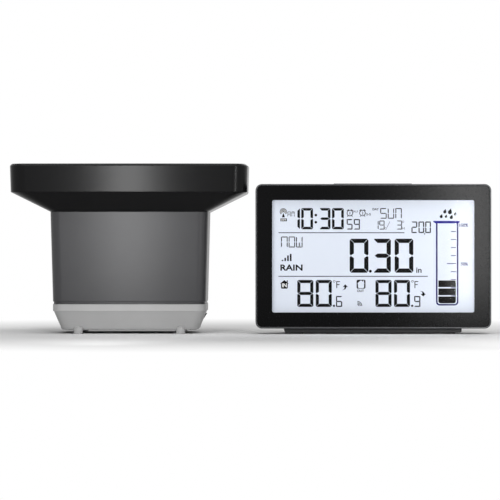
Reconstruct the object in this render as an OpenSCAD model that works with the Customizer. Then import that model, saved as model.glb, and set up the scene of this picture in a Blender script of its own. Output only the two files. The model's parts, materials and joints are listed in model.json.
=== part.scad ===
// Wireless rain gauge: an outdoor tipping-bucket collector and its indoor display console.
// X runs to the right, Y to the back and Z up. The origin is on the floor, under the
// middle of the pair. Lengths are in millimetres.

/* [Set] */
// Clear space between the funnel's rim and the display
unit_gap = 4; // [2:1:60]

/* [Funnel] */
// Width of the rim, left to right
rim_w = 153; // [142:1:165]
// Depth of the rim, front to back
rim_d = 100; // [94:1:112]
// Height of the rim band
rim_h = 18; // [12:1:26]
// Corner radius of the rim
rim_r = 10.4; // [7:0.1:14]
// Height of the sloping flare between rim and housing
flare_h = 12.4; // [9:0.1:18]
// Wall of the funnel
funnel_wall = 2.2; // [1.6:0.1:2.8]
// Height of the drip nozzle, from its tip to the screen's ledge
nozzle_l = 7; // [6:0.1:9]
// Height of the inner throat, from the housing's top down to the screen's well
throat_h = 14.9; // [12:0.1:16]
// Radius of the round well that holds the leaf screen
well_r = 12.6; // [11:0.1:14]
// Depth of that well
well_h = 5; // [4:0.1:6]
// Radius of the drip nozzle's bore
nozzle_r = 2.4; // [1.5:0.1:2.8]

/* [Housing] */
// Room between the sensor box and the outside of the housing, left and right
side_room = 15.25; // [14.25:0.05:19]
// How far the housing reaches behind the battery door at its top
back_room = 1.7; // [1.5:0.1:4]
// Corner radius of the housing
body_r = 6.4; // [4:0.1:9]
// How far each side draws in from top to bottom
body_draft = 1.5; // [0.5:0.1:2]
// Wall of the housing
body_wall = 2; // [1.5:0.1:2.5]
// How far the broad faces bow out
face_bow = 0.8; // [0.2:0.1:1.5]

/* [Base] */
// Height of the base's upright lip
lip_h = 4.3; // [3:0.1:7]
// Height of the tapered tub under the lip
tub_h = 12.2; // [11:0.1:15]
// How far the tub draws in on each side
tub_taper = 4.2; // [2:0.1:5]
// Wall of the base
base_wall = 2.2; // [1.6:0.1:2.6]
// Height of the feet under the tub
foot_h = 2.4; // [1.5:0.1:4]
// Radius of a foot
foot_r = 3; // [2.2:0.1:4]
// How far each foot stands in from the side of the tub
foot_side = 12.3; // [10:0.1:20]
// Radius of the holes for mounting screws
mount_hole_r = 2.1; // [1.5:0.1:2.6]
// How far the mounting holes lie outside the sensor box
mount_side = 3.05; // [2.8:0.05:3.5]
// How far the mounting holes lie in from the front and back of the tub
mount_in = 8.8; // [8:0.1:11]

/* [Tipping bucket] */
// Length of the bucket, lip to lip
bucket_l = 60; // [54:1:64]
// Width of the bucket
bucket_w = 17; // [13:0.5:17]
// How far the bucket leans to each side
bucket_tilt = 18; // [15:0.5:20]
// Rise of the bucket's floor from the middle to a lip
lip_rise = 6; // [5:0.1:7]
// Height of the divider's ridge above the axle
ridge_h = 21; // [19:0.5:21.5]
// Radius of the axle
axle_r = 1; // [0.8:0.1:1.4]
// Height of the axle above the tray's floor
axle_rise = 23.4; // [22:0.2:24]

/* [Cells] */
// Radius of a cell
cell_r = 7.15; // [6.9:0.05:7.25]
// Length of a cell over its tip
cell_l = 50.3; // [49.5:0.1:50.5]

/* [Sensor box] */
// Wall of the sealed box
box_wall = 1.4; // [1:0.1:1.8]
// Width of the bay for the reset plunger and the lamp
bay_w = 11; // [9:0.5:13]
// Thickness of the battery door
door_t = 1.6; // [1.2:0.1:2]

/* [Display] */
// Width of the display's case
disp_w = 150; // [142:1:170]
// Height of the display's case, without its foot
disp_h = 92; // [88:1:100]
// Space behind the main board, front to back
board_room = 10.95; // [10.5:0.05:17]
// Corner radius of the case
disp_r = 4.2; // [2.5:0.1:6]
// Wall of the case
disp_wall = 2; // [1.6:0.1:2.4]
// Width of the frame that shows round the glossy panel
edge_w = 1.05; // [0.7:0.05:1.5]
// Thickness of the glossy panel
panel_t = 2.2; // [1.6:0.1:2.6]
// Width of the border left and right of the screen's opening
bezel_side = 10.6; // [10.4:0.1:14]
// Width of the border above and below the screen's opening
bezel_top = 10.25; // [10:0.05:13]
// Height of the foot that shows under the case
stand_h = 3.5; // [2.8:0.1:5]
// Room for contacts and springs beside the two cells in line
contact_room = 8.4; // [7.5:0.1:14]
// How far the battery hump reaches out behind the case
hump_d = 18; // [17.5:0.1:22]

/* [Keys] */
// Length of the bar on top of the display
bar_w = 50; // [40:1:60]
// Width of the bar, front to back
bar_d = 10; // [8:0.5:11]
// How far the bar stands above the case
bar_rise = 0.5; // [0.3:0.1:0.9]
// Travel of the bar
bar_travel = 0.6; // [0.4:0.1:0.8]
// Length of a rear key
key_w = 9; // [7:0.5:10]
// Height of a rear key
key_h = 5; // [4:0.1:6]
// Distance between the middles of two rear keys
key_pitch = 15; // [13.5:0.5:17]
// Travel of a rear key
key_travel = 0.8; // [0.5:0.1:0.9]

/* [Hidden] */
$fn = 48;

// Shared small values
overrun = 1;            // how far every cut runs past the face it opens
fit = 0.3;              // clearance between pieces that lift, slide or press
snug = 0.05;            // clearance between pieces that stay together
hold = 0.06;            // running clearance of the axle in its bearings
min_r = 0.4;            // smallest corner radius of an inner outline
corner_steps = 6;       // straight steps round one corner of a lofted outline
side_steps = 4;         // straight steps along one bowed side

// Levels of the collector
z_tub = foot_h;
z_lip = z_tub + tub_h;
z_body = z_lip + lip_h;
z_floor = z_tub + base_wall;
z_axle = z_floor + axle_rise;
nozzle_gap = 2;
z_nozzle = z_axle + ridge_h + nozzle_gap;
z_ledge = z_nozzle + nozzle_l;
z_well = z_ledge + well_h;
z_flare = z_well + throat_h;
z_rim = z_flare + flare_h;
z_top = z_rim + rim_h;

// Funnel
skirt_h = 4;
skirt_wall = 1.8;
ledge_w = 2.2;
nozzle_wall = 1.8;
nozzle_cone_h = 2.8;

// Leaf screen
screen_wall = 1.2;
screen_fit = 0.4;
screen_r = well_r - screen_fit;
screen_ring_h = 2;
screen_slots = 10;
screen_slot_w = 1.8;
screen_cap_r = 4.2;
screen_band = 0.8;
dome_steps = 7;
knob_r = 2;
knob_h = 2;

// Base tray
foot_sole_r = foot_r - min_r;
foot_rise = 2.6;
foot_in = 1.5;
post_h = 3;
post_r = 3;
sunk_t = 1;
drain_l = 22;
drain_gap = 4.5;
drain_edge = 1.3;
screen_lip = 1;
screen_t = 1;
mesh_w = 1.2;
mesh_count = 7;
mesh_share = 0.5;

// Cradle
plate_w = 54;
plate_d = 27;
plate_t = 2;
side_gap = 0.7;
pillar_t = 2.5;
pillar_base_w = 22;
pillar_head_r = 4;
post_x = 21;
post_y = 10;
bearing_y = bucket_w / 2 + side_gap;
axle_over = 0.7;
z_plate = z_floor + post_h;
stop_boss_r = 3.2;
stop_boss_h = 8;
stop_r = 1.5;
stop_gap = 0.4;
screw_head_r = 2.4;
screw_head_h = 1.6;
screw_r = 1.25;
slot_w = 0.7;
slot_deep = 0.8;
slot_share = 0.7;

// Bucket, in its own frame with the axle at the origin
bucket_wall = 1.2;
floor_t = 1.4;
floor_low = 1.6;
end_h = 5;
wall_top = 15;
wall_top_l = 20;
barrel_r = 2.6;
ridge_w = 5;
ridge_t = 4.6;
magnet_r = 1.8;
magnet_l = 5;
magnet_z = ridge_h - ridge_t + magnet_r / 2;
stop_share = 0.37;

// Sensor box
cell_gap = 0.4;
contact_l = 3.2;
part_gap = 2.6;
board_t = 1.6;
box_gap = 1.8;
leg_in = 1;
box_y = bearing_y + pillar_t + axle_over + box_gap;
board_y = box_y + box_wall + cell_gap;
cell_y = board_y + board_t + part_gap + cell_r;
box_back = cell_y + cell_r + cell_gap;
cells_w = cell_l + 2 * contact_l;
box_w = cells_w + bay_w + 3 * box_wall;
box_low = z_body + 2 * fit;
box_h = 4 * cell_r + 3 * cell_gap + 2 * box_wall;
cells_x = -box_w / 2 + box_wall + cells_w / 2;
bay_x = box_w / 2 - box_wall - bay_w / 2;
low_cell_z = box_low + box_wall + cell_gap + cell_r;
high_cell_z = low_cell_z + 2 * cell_r + cell_gap;
seal_t = 0.8;
seal_w = 1.2;
door_y = box_back + seal_t;
leg_w = 8;
leg_d = 10;
leg_x = box_w / 2 - leg_w;
leg_y = box_y + leg_in;
box_screw_l = 7;
board_in = 0.8;
reed_r = 1;
reed_l = 14;
reed_boss = 2.2;
reed_boss_l = 17;
reed_z = z_axle + magnet_z;
lead_r = 0.3;
lead_l = 3;
tip_r = 2.6;
tip_h = 1.2;
wire_r = 0.35;
coil_turns = 3;
coil_r = 3.6;
coil_taper = 1.4;
coil_rings = 12;
coil_sides = 6;
plate_side = 11;
plate_thin = 0.4;
chip_w = 7;
chip_t = 1.3;
chip_in = 2;
radio_w = 14;
radio_h = 10;
radio_t = 2;
radio_in = 7;
aerial_r = 0.5;
aerial_h = 24;
aerial_low = 18;
aerial_l = 36;
reset_base = 6;
reset_base_t = 3.4;
plunger_r = 2;
plunger_travel = 0.4;
plunger_z = low_cell_z;
lamp_r = 1.5;
lamp_l = 3;
lamp_z = high_cell_z;
grip_w = 16;
grip_h = 1.2;
grip_t = 0.8;
grip_count = 3;

// Outlines of the collector: width, depth and corner radius
rim_draft = 0.5;
rim_chamfer = 1.3;
lip_step = 0.5;
tub_round = 2;
rim_top = [rim_w, rim_d, rim_r];
body_w = box_w + 2 * side_room;
body_d = 2 * (door_y + door_t + back_room);
rim_low = draw_in(rim_top, rim_draft);
body_top = [body_w, body_d, body_r];
body_low = draw_in(body_top, body_draft);
lip = body_low;
tub_top = draw_in(lip, lip_step);
tub_low = draw_in(tub_top, tub_taper);
tub_flat = draw_in(tub_low, tub_round);

// How an outline grows by its wall, or draws in with its corners kept
function grow(s, t) = [s[0] + 2 * t, s[1] + 2 * t, max(s[2] + t, min_r)];
function draw_in(s, t) = [s[0] - 2 * t, s[1] - 2 * t, s[2]];

// Feet, drains beside the cradle's plate, and mounting holes
foot_x = tub_low[0] / 2 - foot_side;
foot_y = tub_low[1] / 2 - foot_in;
drain_w = tub_low[0] / 2 - base_wall - drain_edge - screen_lip - plate_w / 2 - drain_gap;
drain_x = plate_w / 2 + drain_gap + drain_w / 2;
mount_x = box_w / 2 + mount_side;
mount_y = tub_low[1] / 2 - mount_in;

// Housing and its two latch tongues
shadow_h = 1.7;
shadow_in = 0.5;
tongue_w = 12;
tongue_t = 2;
tongue_drop = 10.2;
thumb_h = 3.8;
thumb_out = 0.9;
tongue_root = 5;

// Spigot that locates the housing
spigot_h = 3.6;
spigot_wall = 1.8;

// Levels and places of the display, whose front face is at depth 0
z_case = stand_h;
view_w = disp_w - 2 * bezel_side;
view_h = disp_h - 2 * bezel_top;
z_crown = z_case + disp_h;
z_mid = z_case + disp_h / 2;
lens_t = 1.2;
lens_over = 2.4;
glass_t = 2.2;
guide_t = 3;
ledge_t = 2;
lens_y = panel_t;
glass_y = lens_y + lens_t + snug;
guide_y = glass_y + glass_t;
lens_w = view_w + 2 * lens_over;
lens_h = view_h + 2 * lens_over;
strip_h = 3;
strip_in = 6.8;
strip_w = lens_w - 2 * strip_in;
strip_t = 3.8;
glass_low = z_mid - lens_h / 2;
main_y = guide_y + strip_t;
main_side = 13;
main_w = disp_w - 2 * main_side;
disp_t = main_y + board_t + board_room + disp_wall;
split_y = disp_t / 2;
rear_y = disp_t - disp_wall;
main_drop = 8.5;
main_lip = 0.4;
main_top = z_crown - main_drop;
main_low = glass_low - main_lip;
post_in = 3;
case_post_r = 2.5;
pilot_r = 1.15;
case_screw_r = 1.1;
case_head_r = 2.1;
case_head_t = 1.8;
head_seat = 2;
head_wall = 1.4;
case_head_y = split_y + head_seat;
corner_x = disp_w / 2 - disp_wall - post_in;
corner_z = 9.5;
pad_t = 0.8;
pad_r = 4.5;
pad_in = 8;
stand_front = 5;
hump_y = disp_t;
hump_back = disp_t + hump_d;
hump_wall = 2;
hump_top = stand_h + 2 * cell_r + 2 * cell_gap + hump_wall;
hump_r = 1.2;
stand_w = 2 * cell_l + contact_room + 2 * hump_wall;
bay_half = stand_w / 2 - hump_wall;
disp_cell_y = hump_y + cell_gap + cell_r;
disp_cell_z = stand_h + cell_gap + cell_r;
cell_door_t = 1.6;
door_fit = 0.25;
catch_w = 14;
catch_h = 1.2;
catch_t = 0.8;
vent_w = 1.4;
vent_h = 12;
vent_count = 7;
vent_pitch = 3.6;
vent_in = 23;
vent_x = disp_w / 2 - vent_in;
vent_z = 38;
sound_r = 1;
sound_ring = 4;
sound_count = 6;
buzzer_r = 10;
buzzer_t = 1.4;
sensor_r = 1.3;
sensor_l = 4;
blob_r = 8;
blob_t = 1.6;
lamp_w = 2.4;
lamp_h = 8;
key_drop = 17;
key_z = z_crown - key_drop;
key_r = 1.2;
key_flange = 1;
key_flange_t = 1.4;
key_stem_r = 1.5;
key_rise = 0.8;
key_gap = 0.4;
switch_w = 6;
switch_t = 3.4;
button_r = 1.6;
bar_flange_t = 1;
bar_flange = 1;
bar_stem_w = 4;
bar_r = 1;
bar_y = split_y;
snooze_w = 6;
snooze_h = 4;
rear_keys = ["set", "alarm", "history", "units", "up", "down"];

// Places of the two units
set_w = rim_w + unit_gap + disp_w;
collector_x = (rim_w - set_w) / 2;
display_x = (set_w - disp_w) / 2;
display_y = -body_d / 2;

// Outline of a rounded rectangle whose sides bow out, as points
function crowned(s) = let (a = s[0] / 2 - face_bow, b = s[1] / 2 - face_bow, r = s[2])
  [for (q = [0:3]) each concat(
    [for (i = [0:corner_steps]) let (t = 90 * (q + i / corner_steps))
      [(q == 0 || q == 3 ? 1 : -1) * (a - r) + r * cos(t), (q < 2 ? 1 : -1) * (b - r) + r * sin(t)]],
    [for (i = [1:side_steps - 1]) let (t = 1 - 2 * i / side_steps, h = face_bow * (1 - t * t))
      q == 0 ? [t * (a - r), b + h] :
      q == 1 ? [-(a + h), t * (b - r)] :
      q == 2 ? [-t * (a - r), -(b + h)] : [a + h, -t * (b - r)]])];

// The same points drawn in to a circle
function round_of(s, r) = [for (p = crowned(s)) r * p / norm(p)];

// Solid through a stack of outlines with equal numbers of points: [points, level] pairs
module loft(tiers) {
  n = len(tiers[0][0]);
  m = len(tiers);
  points = [for (t = tiers) for (p = t[0]) [p[0], p[1], t[1]]];
  sides = [for (k = [0:m - 2]) for (i = [0:n - 1])
    let (j = (i + 1) % n, a = k * n, b = (k + 1) * n)
    each [[a + i, b + i, b + j], [a + i, b + j, a + j]]];
  polyhedron(points, concat([[for (i = [0:n - 1]) i]],
    [[for (i = [n - 1:-1:0]) (m - 1) * n + i]], sides));
}

// Upright prism of a bowed outline
module crowned_prism(s, z0, z1) {
  translate([0, 0, z0]) linear_extrude(z1 - z0) polygon(crowned(s));
}

// Ring of a bowed outline
module crowned_ring(s, wall, z0, z1) {
  difference() {
    crowned_prism(s, z0, z1);
    crowned_prism(grow(s, -wall), z0 - overrun, z1 + overrun);
  }
}

// Flat rounded rectangle
module rounded(w, h, r) {
  square([w - 2 * r, h], center = true);
  square([w, h - 2 * r], center = true);
  for (x = [-1, 1], y = [-1, 1]) translate([x * (w / 2 - r), y * (h / 2 - r)]) circle(r);
}

// Extrudes an outline drawn in X and Z towards the back, from depth y0 to y1
module to_back(y0, y1) {
  translate([0, y1, 0]) rotate([90, 0, 0]) linear_extrude(y1 - y0) children();
}

// Block between two corners
module block(low, high) {
  translate(low) cube(high - low);
}

// Rod along X, along Y or upright, from a start point
module rod_x(p, r, l) {
  translate(p) rotate([0, 90, 0]) cylinder(r = r, h = l);
}

module rod_y(p, r, l) {
  translate(p) rotate([-90, 0, 0]) cylinder(r = r, h = l);
}

module rod_z(p, r, l) {
  translate(p) cylinder(r = r, h = l);
}

// Puts a piece at the collector's or at the display's place
module at_collector() {
  translate([collector_x, 0, 0]) children();
}

module at_display() {
  translate([display_x, display_y, 0]) children();
}

// Left and right, or all four corners
module both_sides() {
  children();
  mirror([1, 0, 0]) children();
}

module four_ways() {
  both_sides() {
    children();
    mirror([0, 1, 0]) children();
  }
}

// Round-headed screw along +Z with a cross slot, its head above the seat at the origin
module screw(head_r, head_h, shank_r, shank_l) {
  difference() {
    cylinder(r = head_r, h = head_h);
    for (a = [0, 90]) rotate(a)
      block([-head_r * slot_share, -slot_w / 2, head_h - slot_deep],
            [head_r * slot_share, slot_w / 2, head_h + overrun]);
  }
  translate([0, 0, -shank_l]) cylinder(r = shank_r, h = shank_l);
}

// Conical contact spring along +X: one unbroken wire, widest at the plate
function coil_point(u, l) = let (a = 360 * coil_turns * u, r = coil_r - coil_taper * u)
  [wire_r + (l - 2 * wire_r) * u, r * cos(a), r * sin(a)];

module contact_spring(l) {
  steps = coil_turns * coil_rings;
  points = [for (k = [0:steps])
    let (c = coil_point(k / steps, l), a = 360 * k / coil_rings,
         out = [0, cos(a), sin(a)], along = [1, 0, 0])
    for (i = [0:coil_sides - 1]) let (t = 360 * i / coil_sides)
      c + wire_r * (cos(t) * out + sin(t) * along)];
  n = coil_sides;
  sides = [for (k = [0:steps - 1]) for (i = [0:n - 1])
    let (j = (i + 1) % n, a = k * n, b = (k + 1) * n)
    each [[a + i, b + i, b + j], [a + i, b + j, a + j]]];
  polyhedron(points, concat([[for (i = [0:n - 1]) i]],
    [[for (i = [n - 1:-1:0]) steps * n + i]], sides));
}

// Cylindrical cell along +X, its tip last
module cell() {
  rod_x([0, 0, 0], cell_r, cell_l - tip_h);
  rod_x([cell_l - tip_h, 0, 0], tip_r, tip_h);
}

// Funnel: rim, flare, throat, round well and drip nozzle in one moulding
module funnel() color("#1d1e20") at_collector() {
  skirt = grow(body_top, -body_wall - fit);
  half = funnel_wall / 2;
  difference() {
    union() {
      loft([[crowned(body_top), z_flare], [crowned(rim_low), z_rim],
            [crowned(rim_top), z_top - rim_chamfer],
            [crowned(grow(rim_top, -rim_chamfer)), z_top]]);
      loft([[round_of(skirt, well_r + half), z_well - half],
            [crowned(skirt), z_flare - half], [crowned(skirt), z_flare + half]]);
      crowned_ring(skirt, skirt_wall, z_flare - skirt_h, z_flare - half);
      rotate_extrude() polygon([
        [0, z_nozzle], [nozzle_r + nozzle_wall, z_nozzle],
        [nozzle_r + nozzle_wall, z_ledge - nozzle_cone_h - funnel_wall],
        [well_r + funnel_wall, z_ledge - funnel_wall],
        [well_r + funnel_wall, z_well], [0, z_well]]);
    }
    loft([[round_of(skirt, well_r - fit), z_well], [crowned(grow(body_top, -funnel_wall)), z_flare + half],
          [crowned(grow(rim_low, -funnel_wall)), z_rim + half],
          [crowned(grow(rim_top, -funnel_wall)), z_top + overrun]]);
    rotate_extrude() polygon([
      [0, z_nozzle - overrun], [nozzle_r, z_nozzle - overrun], [nozzle_r, z_ledge - nozzle_cone_h],
      [well_r - ledge_w, z_ledge], [well_r, z_ledge], [well_r, z_well + fit], [0, z_well + fit]]);
  }
}

// Half width of the tub's outside at a level
function tub_half(z) = tub_low[0] / 2
  + tub_taper * (z - z_tub - tub_round) / (z_lip - z_tub - tub_round);

// Outline of a latch tongue in X and Z, with its thumb wedge
module tongue_outline(t) {
  low = z_body - tongue_drop;
  wedge = low + thumb_h;
  polygon([
    [tub_half(low) - tongue_t - t, low - t], [tub_half(low) + t, low - t],
    [tub_half(wedge) + thumb_out, wedge], [tub_half(wedge) + t, wedge + t],
    [tub_half(z_lip) + t, z_lip], [lip[0] / 2 - shadow_in + t, z_body],
    [lip[0] / 2 - shadow_in, z_body + shadow_h], [lip[0] / 2 - body_wall, z_body + tongue_root],
    [tub_half(low) - tongue_t - t, z_body + tongue_root]]);
}

// Housing: drafted shell, open below, notched at the back for the sensor box
module collector_housing() color("#5b5b5d") at_collector() {
  shadow = draw_in(body_low, shadow_in);
  difference() {
    loft([[crowned(shadow), z_body], [crowned(shadow), z_body + shadow_h],
          [crowned(body_low), z_body + shadow_h], [crowned(body_top), z_flare]]);
    loft([[crowned(grow(body_low, -body_wall)), z_body - overrun],
          [crowned(grow(body_top, -body_wall)), z_flare + overrun]]);
    block([-box_w / 2 - 2 * fit, box_y, z_body - overrun],
          [box_w / 2 + 2 * fit, body_d, box_low + box_h + 2 * fit]);
  }
  both_sides() to_back(-tongue_w / 2, tongue_w / 2) tongue_outline(0);
}

// Leaf screen: slotted dome with a lifting knob
module leaf_screen() color("#2c2d30") at_collector() {
  rise = z_ledge + screen_ring_h;
  inner = screen_r - screen_wall;
  brow = acos(knob_r / screen_r);
  difference() {
    rotate_extrude() polygon(concat(
      [[inner, z_ledge], [screen_r, z_ledge]],
      [for (i = [0:dome_steps]) let (t = brow * i / dome_steps)
        [screen_r * cos(t), rise + screen_r * sin(t)]],
      [[knob_r, rise + screen_r + knob_h], [0, rise + screen_r + knob_h]],
      [for (i = [dome_steps:-1:0]) let (t = 90 * i / dome_steps)
        [inner * cos(t), rise + inner * sin(t)]]));
    for (i = [0:screen_slots - 1]) rotate(360 * i / screen_slots)
      block([screen_cap_r, -screen_slot_w / 2, rise + screen_band],
            [well_r + overrun, screen_slot_w / 2, rise + screen_r]);
  }
}

// Foot stub with a rounded head that shows in front of the tub
module foot() {
  translate([foot_x, foot_y, 0]) rotate_extrude() polygon(concat(
    [[0, 0], [foot_sole_r, 0], [foot_r, min_r]],
    [for (i = [0:corner_steps]) let (t = 90 * i / corner_steps)
      [foot_r * cos(t), foot_rise + foot_r * sin(t)]]));
}

// Base tray: tapered tub with an upright lip, feet, drains and screw posts
module base_tray() color("#b9b9b9") at_collector() {
  spigot = grow(body_low, -body_wall - fit);
  hollow = grow(spigot, -spigot_wall);
  difference() {
    union() {
      difference() {
        union() {
          loft([[crowned(tub_flat), z_tub], [crowned(tub_low), z_tub + tub_round],
                [crowned(tub_top), z_lip]]);
          crowned_prism(lip, z_lip, z_body);
          crowned_prism(spigot, z_body, z_body + spigot_h);
          four_ways() foot();
        }
        loft([[crowned(grow(tub_low, -base_wall)), z_floor],
              [crowned(grow(tub_top, -base_wall - tub_taper / 2)), z_lip],
              [crowned(hollow), z_lip + lip_h / 2], [crowned(hollow), z_body + spigot_h + overrun]]);
      }
      four_ways() rod_z([post_x, post_y, z_floor - base_wall / 2], post_r, post_h + base_wall / 2);
    }
    block([-box_w / 2 - 2 * fit, box_y, z_body], [box_w / 2 + 2 * fit, body_d, z_flare]);
    both_sides() to_back(-tongue_w / 2 - fit, tongue_w / 2 + fit) union() {
      tongue_outline(fit);
      translate([tub_half(z_body) , (z_body - tongue_drop + z_body) / 2])
        square([2 * tongue_t, tongue_drop - thumb_h + 2 * overrun + spigot_h], center = true);
    }
    four_ways() rod_z([post_x, post_y, z_floor], screw_r + snug, post_h + overrun);
    four_ways() rod_z([mount_x, mount_y, z_tub - overrun],
      mount_hole_r, base_wall + 2 * overrun);
    leg_places() {
      rod_z([0, 0, z_tub - overrun], screw_head_r + snug, base_wall - sunk_t + overrun);
      rod_z([0, 0, z_tub - overrun], screw_r + snug, base_wall + 2 * overrun);
    }
    both_sides() block([drain_x - drain_w / 2, -drain_l / 2, z_tub - overrun],
      [drain_x + drain_w / 2, drain_l / 2, z_floor + overrun]);
  }
}

// Insect screens over the two drains
module drain_screens() color("#8a8d90") at_collector() both_sides() difference() {
  block([drain_x - drain_w / 2 - screen_lip, -drain_l / 2 - screen_lip, z_floor],
        [drain_x + drain_w / 2 + screen_lip, drain_l / 2 + screen_lip, z_floor + screen_t]);
  for (i = [0:mesh_count - 1]) let (y = drain_l * ((i + mesh_share) / mesh_count - mesh_share))
    block([drain_x - drain_w / 2, y - mesh_w / 2, z_floor - overrun],
          [drain_x + drain_w / 2, y + mesh_w / 2, z_floor + screen_t + overrun]);
}

// Point under the bucket's floor at a distance from the axle, leaned to the right
function under_floor(x) = let (z = floor_low + lip_rise * x / (bucket_l / 2))
  [x * cos(bucket_tilt) + z * sin(bucket_tilt), z * cos(bucket_tilt) - x * sin(bucket_tilt)];
stop_x = under_floor(bucket_l * stop_share)[0];
stop_top = z_axle + under_floor(bucket_l * stop_share)[1] - stop_gap;

// Cradle: plate, two bearing pillars and the bosses of the stop screws
module bucket_cradle() color("#3b3d40") at_collector() difference() {
  union() {
    translate([0, 0, z_plate]) linear_extrude(plate_t) rounded(plate_w, plate_d, post_r);
    for (y = [-bearing_y - pillar_t, bearing_y]) {
      to_back(y, y + pillar_t) polygon([
        [-pillar_base_w / 2, z_plate], [pillar_base_w / 2, z_plate],
        [pillar_head_r, z_axle], [-pillar_head_r, z_axle]]);
      rod_y([0, y, z_axle], pillar_head_r, pillar_t);
    }
    both_sides() rod_z([stop_x, 0, z_plate], stop_boss_r, plate_t + stop_boss_h);
  }
  rod_y([0, -plate_d, z_axle], axle_r + hold, 2 * plate_d);
  both_sides() rod_z([stop_x, 0, z_plate - overrun], stop_r + snug,
    plate_t + stop_boss_h + 2 * overrun);
  four_ways() rod_z([post_x, post_y, z_plate - overrun], screw_r + snug, plate_t + 2 * overrun);
}

// Screws that hold the cradle to the tray
module cradle_screws() color("#c9ccd0") at_collector() four_ways()
  translate([post_x, post_y, z_plate + plate_t])
    screw(screw_head_r, screw_head_h, screw_r, plate_t + post_h);

// Adjusting screws that the bucket comes to rest on
module stop_screws() color("#c8a24a") at_collector() both_sides() {
  low = z_plate - screw_head_h;
  rod_z([stop_x, 0, low + screw_head_h], stop_r, stop_top - z_plate);
  difference() {
    rod_z([stop_x, 0, low], screw_head_r, screw_head_h);
    block([stop_x - screw_head_r, -slot_w / 2, low - overrun],
          [stop_x + screw_head_r, slot_w / 2, low + slot_deep]);
  }
}

// Side outline of the bucket and of one chamber, in X and Z about the axle
module bucket_side() {
  half = bucket_l / 2;
  polygon([
    [-half, floor_low + lip_rise], [0, floor_low], [half, floor_low + lip_rise],
    [half, floor_low + lip_rise + end_h], [wall_top_l / 2, wall_top],
    [-wall_top_l / 2, wall_top], [-half, floor_low + lip_rise + end_h]]);
}

module chamber_side() {
  half = bucket_l / 2;
  slope = lip_rise / half;
  polygon([
    [bucket_wall / 2, floor_low + floor_t + slope * bucket_wall / 2],
    [half + overrun, floor_low + floor_t + slope * (half + overrun)],
    [half + overrun, wall_top + overrun], [bucket_wall / 2, wall_top + overrun]]);
}

// Leans a piece of the bucket onto its right-hand stop
module leaned() {
  translate([0, 0, z_axle]) rotate([0, bucket_tilt, 0]) children();
}

// Tipping bucket: two open chambers either side of a divider, on a pivot barrel
module tipping_bucket() color("#232427") at_collector() leaned() difference() {
  union() {
    difference() {
      to_back(-bucket_w / 2, bucket_w / 2) bucket_side();
      to_back(-bucket_w / 2 + bucket_wall, bucket_w / 2 - bucket_wall)
        both_sides() chamber_side();
    }
    to_back(-bucket_w / 2, bucket_w / 2) polygon([
      [-bucket_wall / 2, floor_low], [bucket_wall / 2, floor_low],
      [bucket_wall / 2, wall_top - bucket_wall], [ridge_w / 2, ridge_h - ridge_t],
      [ridge_w / 2, ridge_h - bucket_wall], [0, ridge_h], [-ridge_w / 2, ridge_h - bucket_wall],
      [-ridge_w / 2, ridge_h - ridge_t], [-bucket_wall / 2, wall_top - bucket_wall]]);
    rod_y([0, -bucket_w / 2, 0], barrel_r, bucket_w);
  }
  rod_y([0, -bucket_w, 0], axle_r + snug / 2, 2 * bucket_w);
  rod_y([0, bucket_w / 2 - magnet_l, magnet_z], magnet_r + snug / 2, magnet_l + overrun);
}

// Steel axle, pressed through the bucket's barrel
module bucket_axle() color("#d4d7da") at_collector()
  rod_y([0, -bearing_y - pillar_t - axle_over, z_axle], axle_r,
    2 * (bearing_y + pillar_t + axle_over));

// Magnet in the divider's ridge
module bucket_magnet() color("#9fa3a8") at_collector() leaned()
  rod_y([0, bucket_w / 2 - magnet_l, magnet_z], magnet_r, magnet_l);

// Reed switch: glass capsule and two leads, in the boss on the sensor box
module reed_switch() color("#d9e6df") at_collector() {
  y = box_y - reed_boss / 2;
  rod_x([-reed_l / 2, y, reed_z], reed_r, reed_l);
  both_sides() rod_x([reed_l / 2, y, reed_z], lead_r, lead_l);
}

// Middles of the sensor box's two legs
module leg_places() {
  both_sides() translate([leg_x + leg_w / 2, leg_y + leg_d / 2, 0]) children();
}

// Sensor box: sealed housing of the cells and the board, open at the back
module sensor_box() color("#a9abad") at_collector() difference() {
  union() {
    block([-box_w / 2, box_y, box_low], [box_w / 2, box_back, box_low + box_h]);
    both_sides() block([leg_x, leg_y, z_floor], [leg_x + leg_w, leg_y + leg_d, box_low + box_wall]);
    block([-reed_boss_l / 2, box_y - reed_boss, reed_z - reed_boss],
          [reed_boss_l / 2, box_y + box_wall, reed_z + reed_boss]);
  }
  difference() {
    block([-box_w / 2 + box_wall, box_y + box_wall, box_low + box_wall],
          [box_w / 2 - box_wall, box_back + overrun, box_low + box_h - box_wall]);
    block([bay_x - bay_w / 2 - box_wall, cell_y - cell_r, box_low],
          [bay_x - bay_w / 2, box_back - box_wall, box_low + box_h]);
  }
  rod_x([-reed_boss_l, box_y - reed_boss / 2, reed_z], reed_r + snug / 2, 2 * reed_boss_l);
  leg_places() rod_z([0, 0, z_floor - overrun], screw_r + snug, box_screw_l + overrun);
}

// Screws up through the tray into the box's legs
module box_screws() color("#c9ccd0") at_collector() leg_places()
  translate([0, 0, z_floor - sunk_t]) mirror([0, 0, 1])
    screw(screw_head_r, base_wall - sunk_t, screw_r, box_screw_l);

// Battery door at the back, with grip ribs and a catch
module sensor_door() color("#5b5b5d") at_collector() {
  difference() {
    to_back(door_y, door_y + door_t)
      translate([0, box_low + box_h / 2]) rounded(box_w, box_h, box_wall);
    for (i = [0:grip_count - 1])
      block([-grip_w / 2, door_y + door_t - grip_t, box_low + box_h - box_wall * (2 + 2 * i) - grip_h],
            [grip_w / 2, door_y + door_t + overrun, box_low + box_h - box_wall * (2 + 2 * i)]);
  }
}

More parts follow.
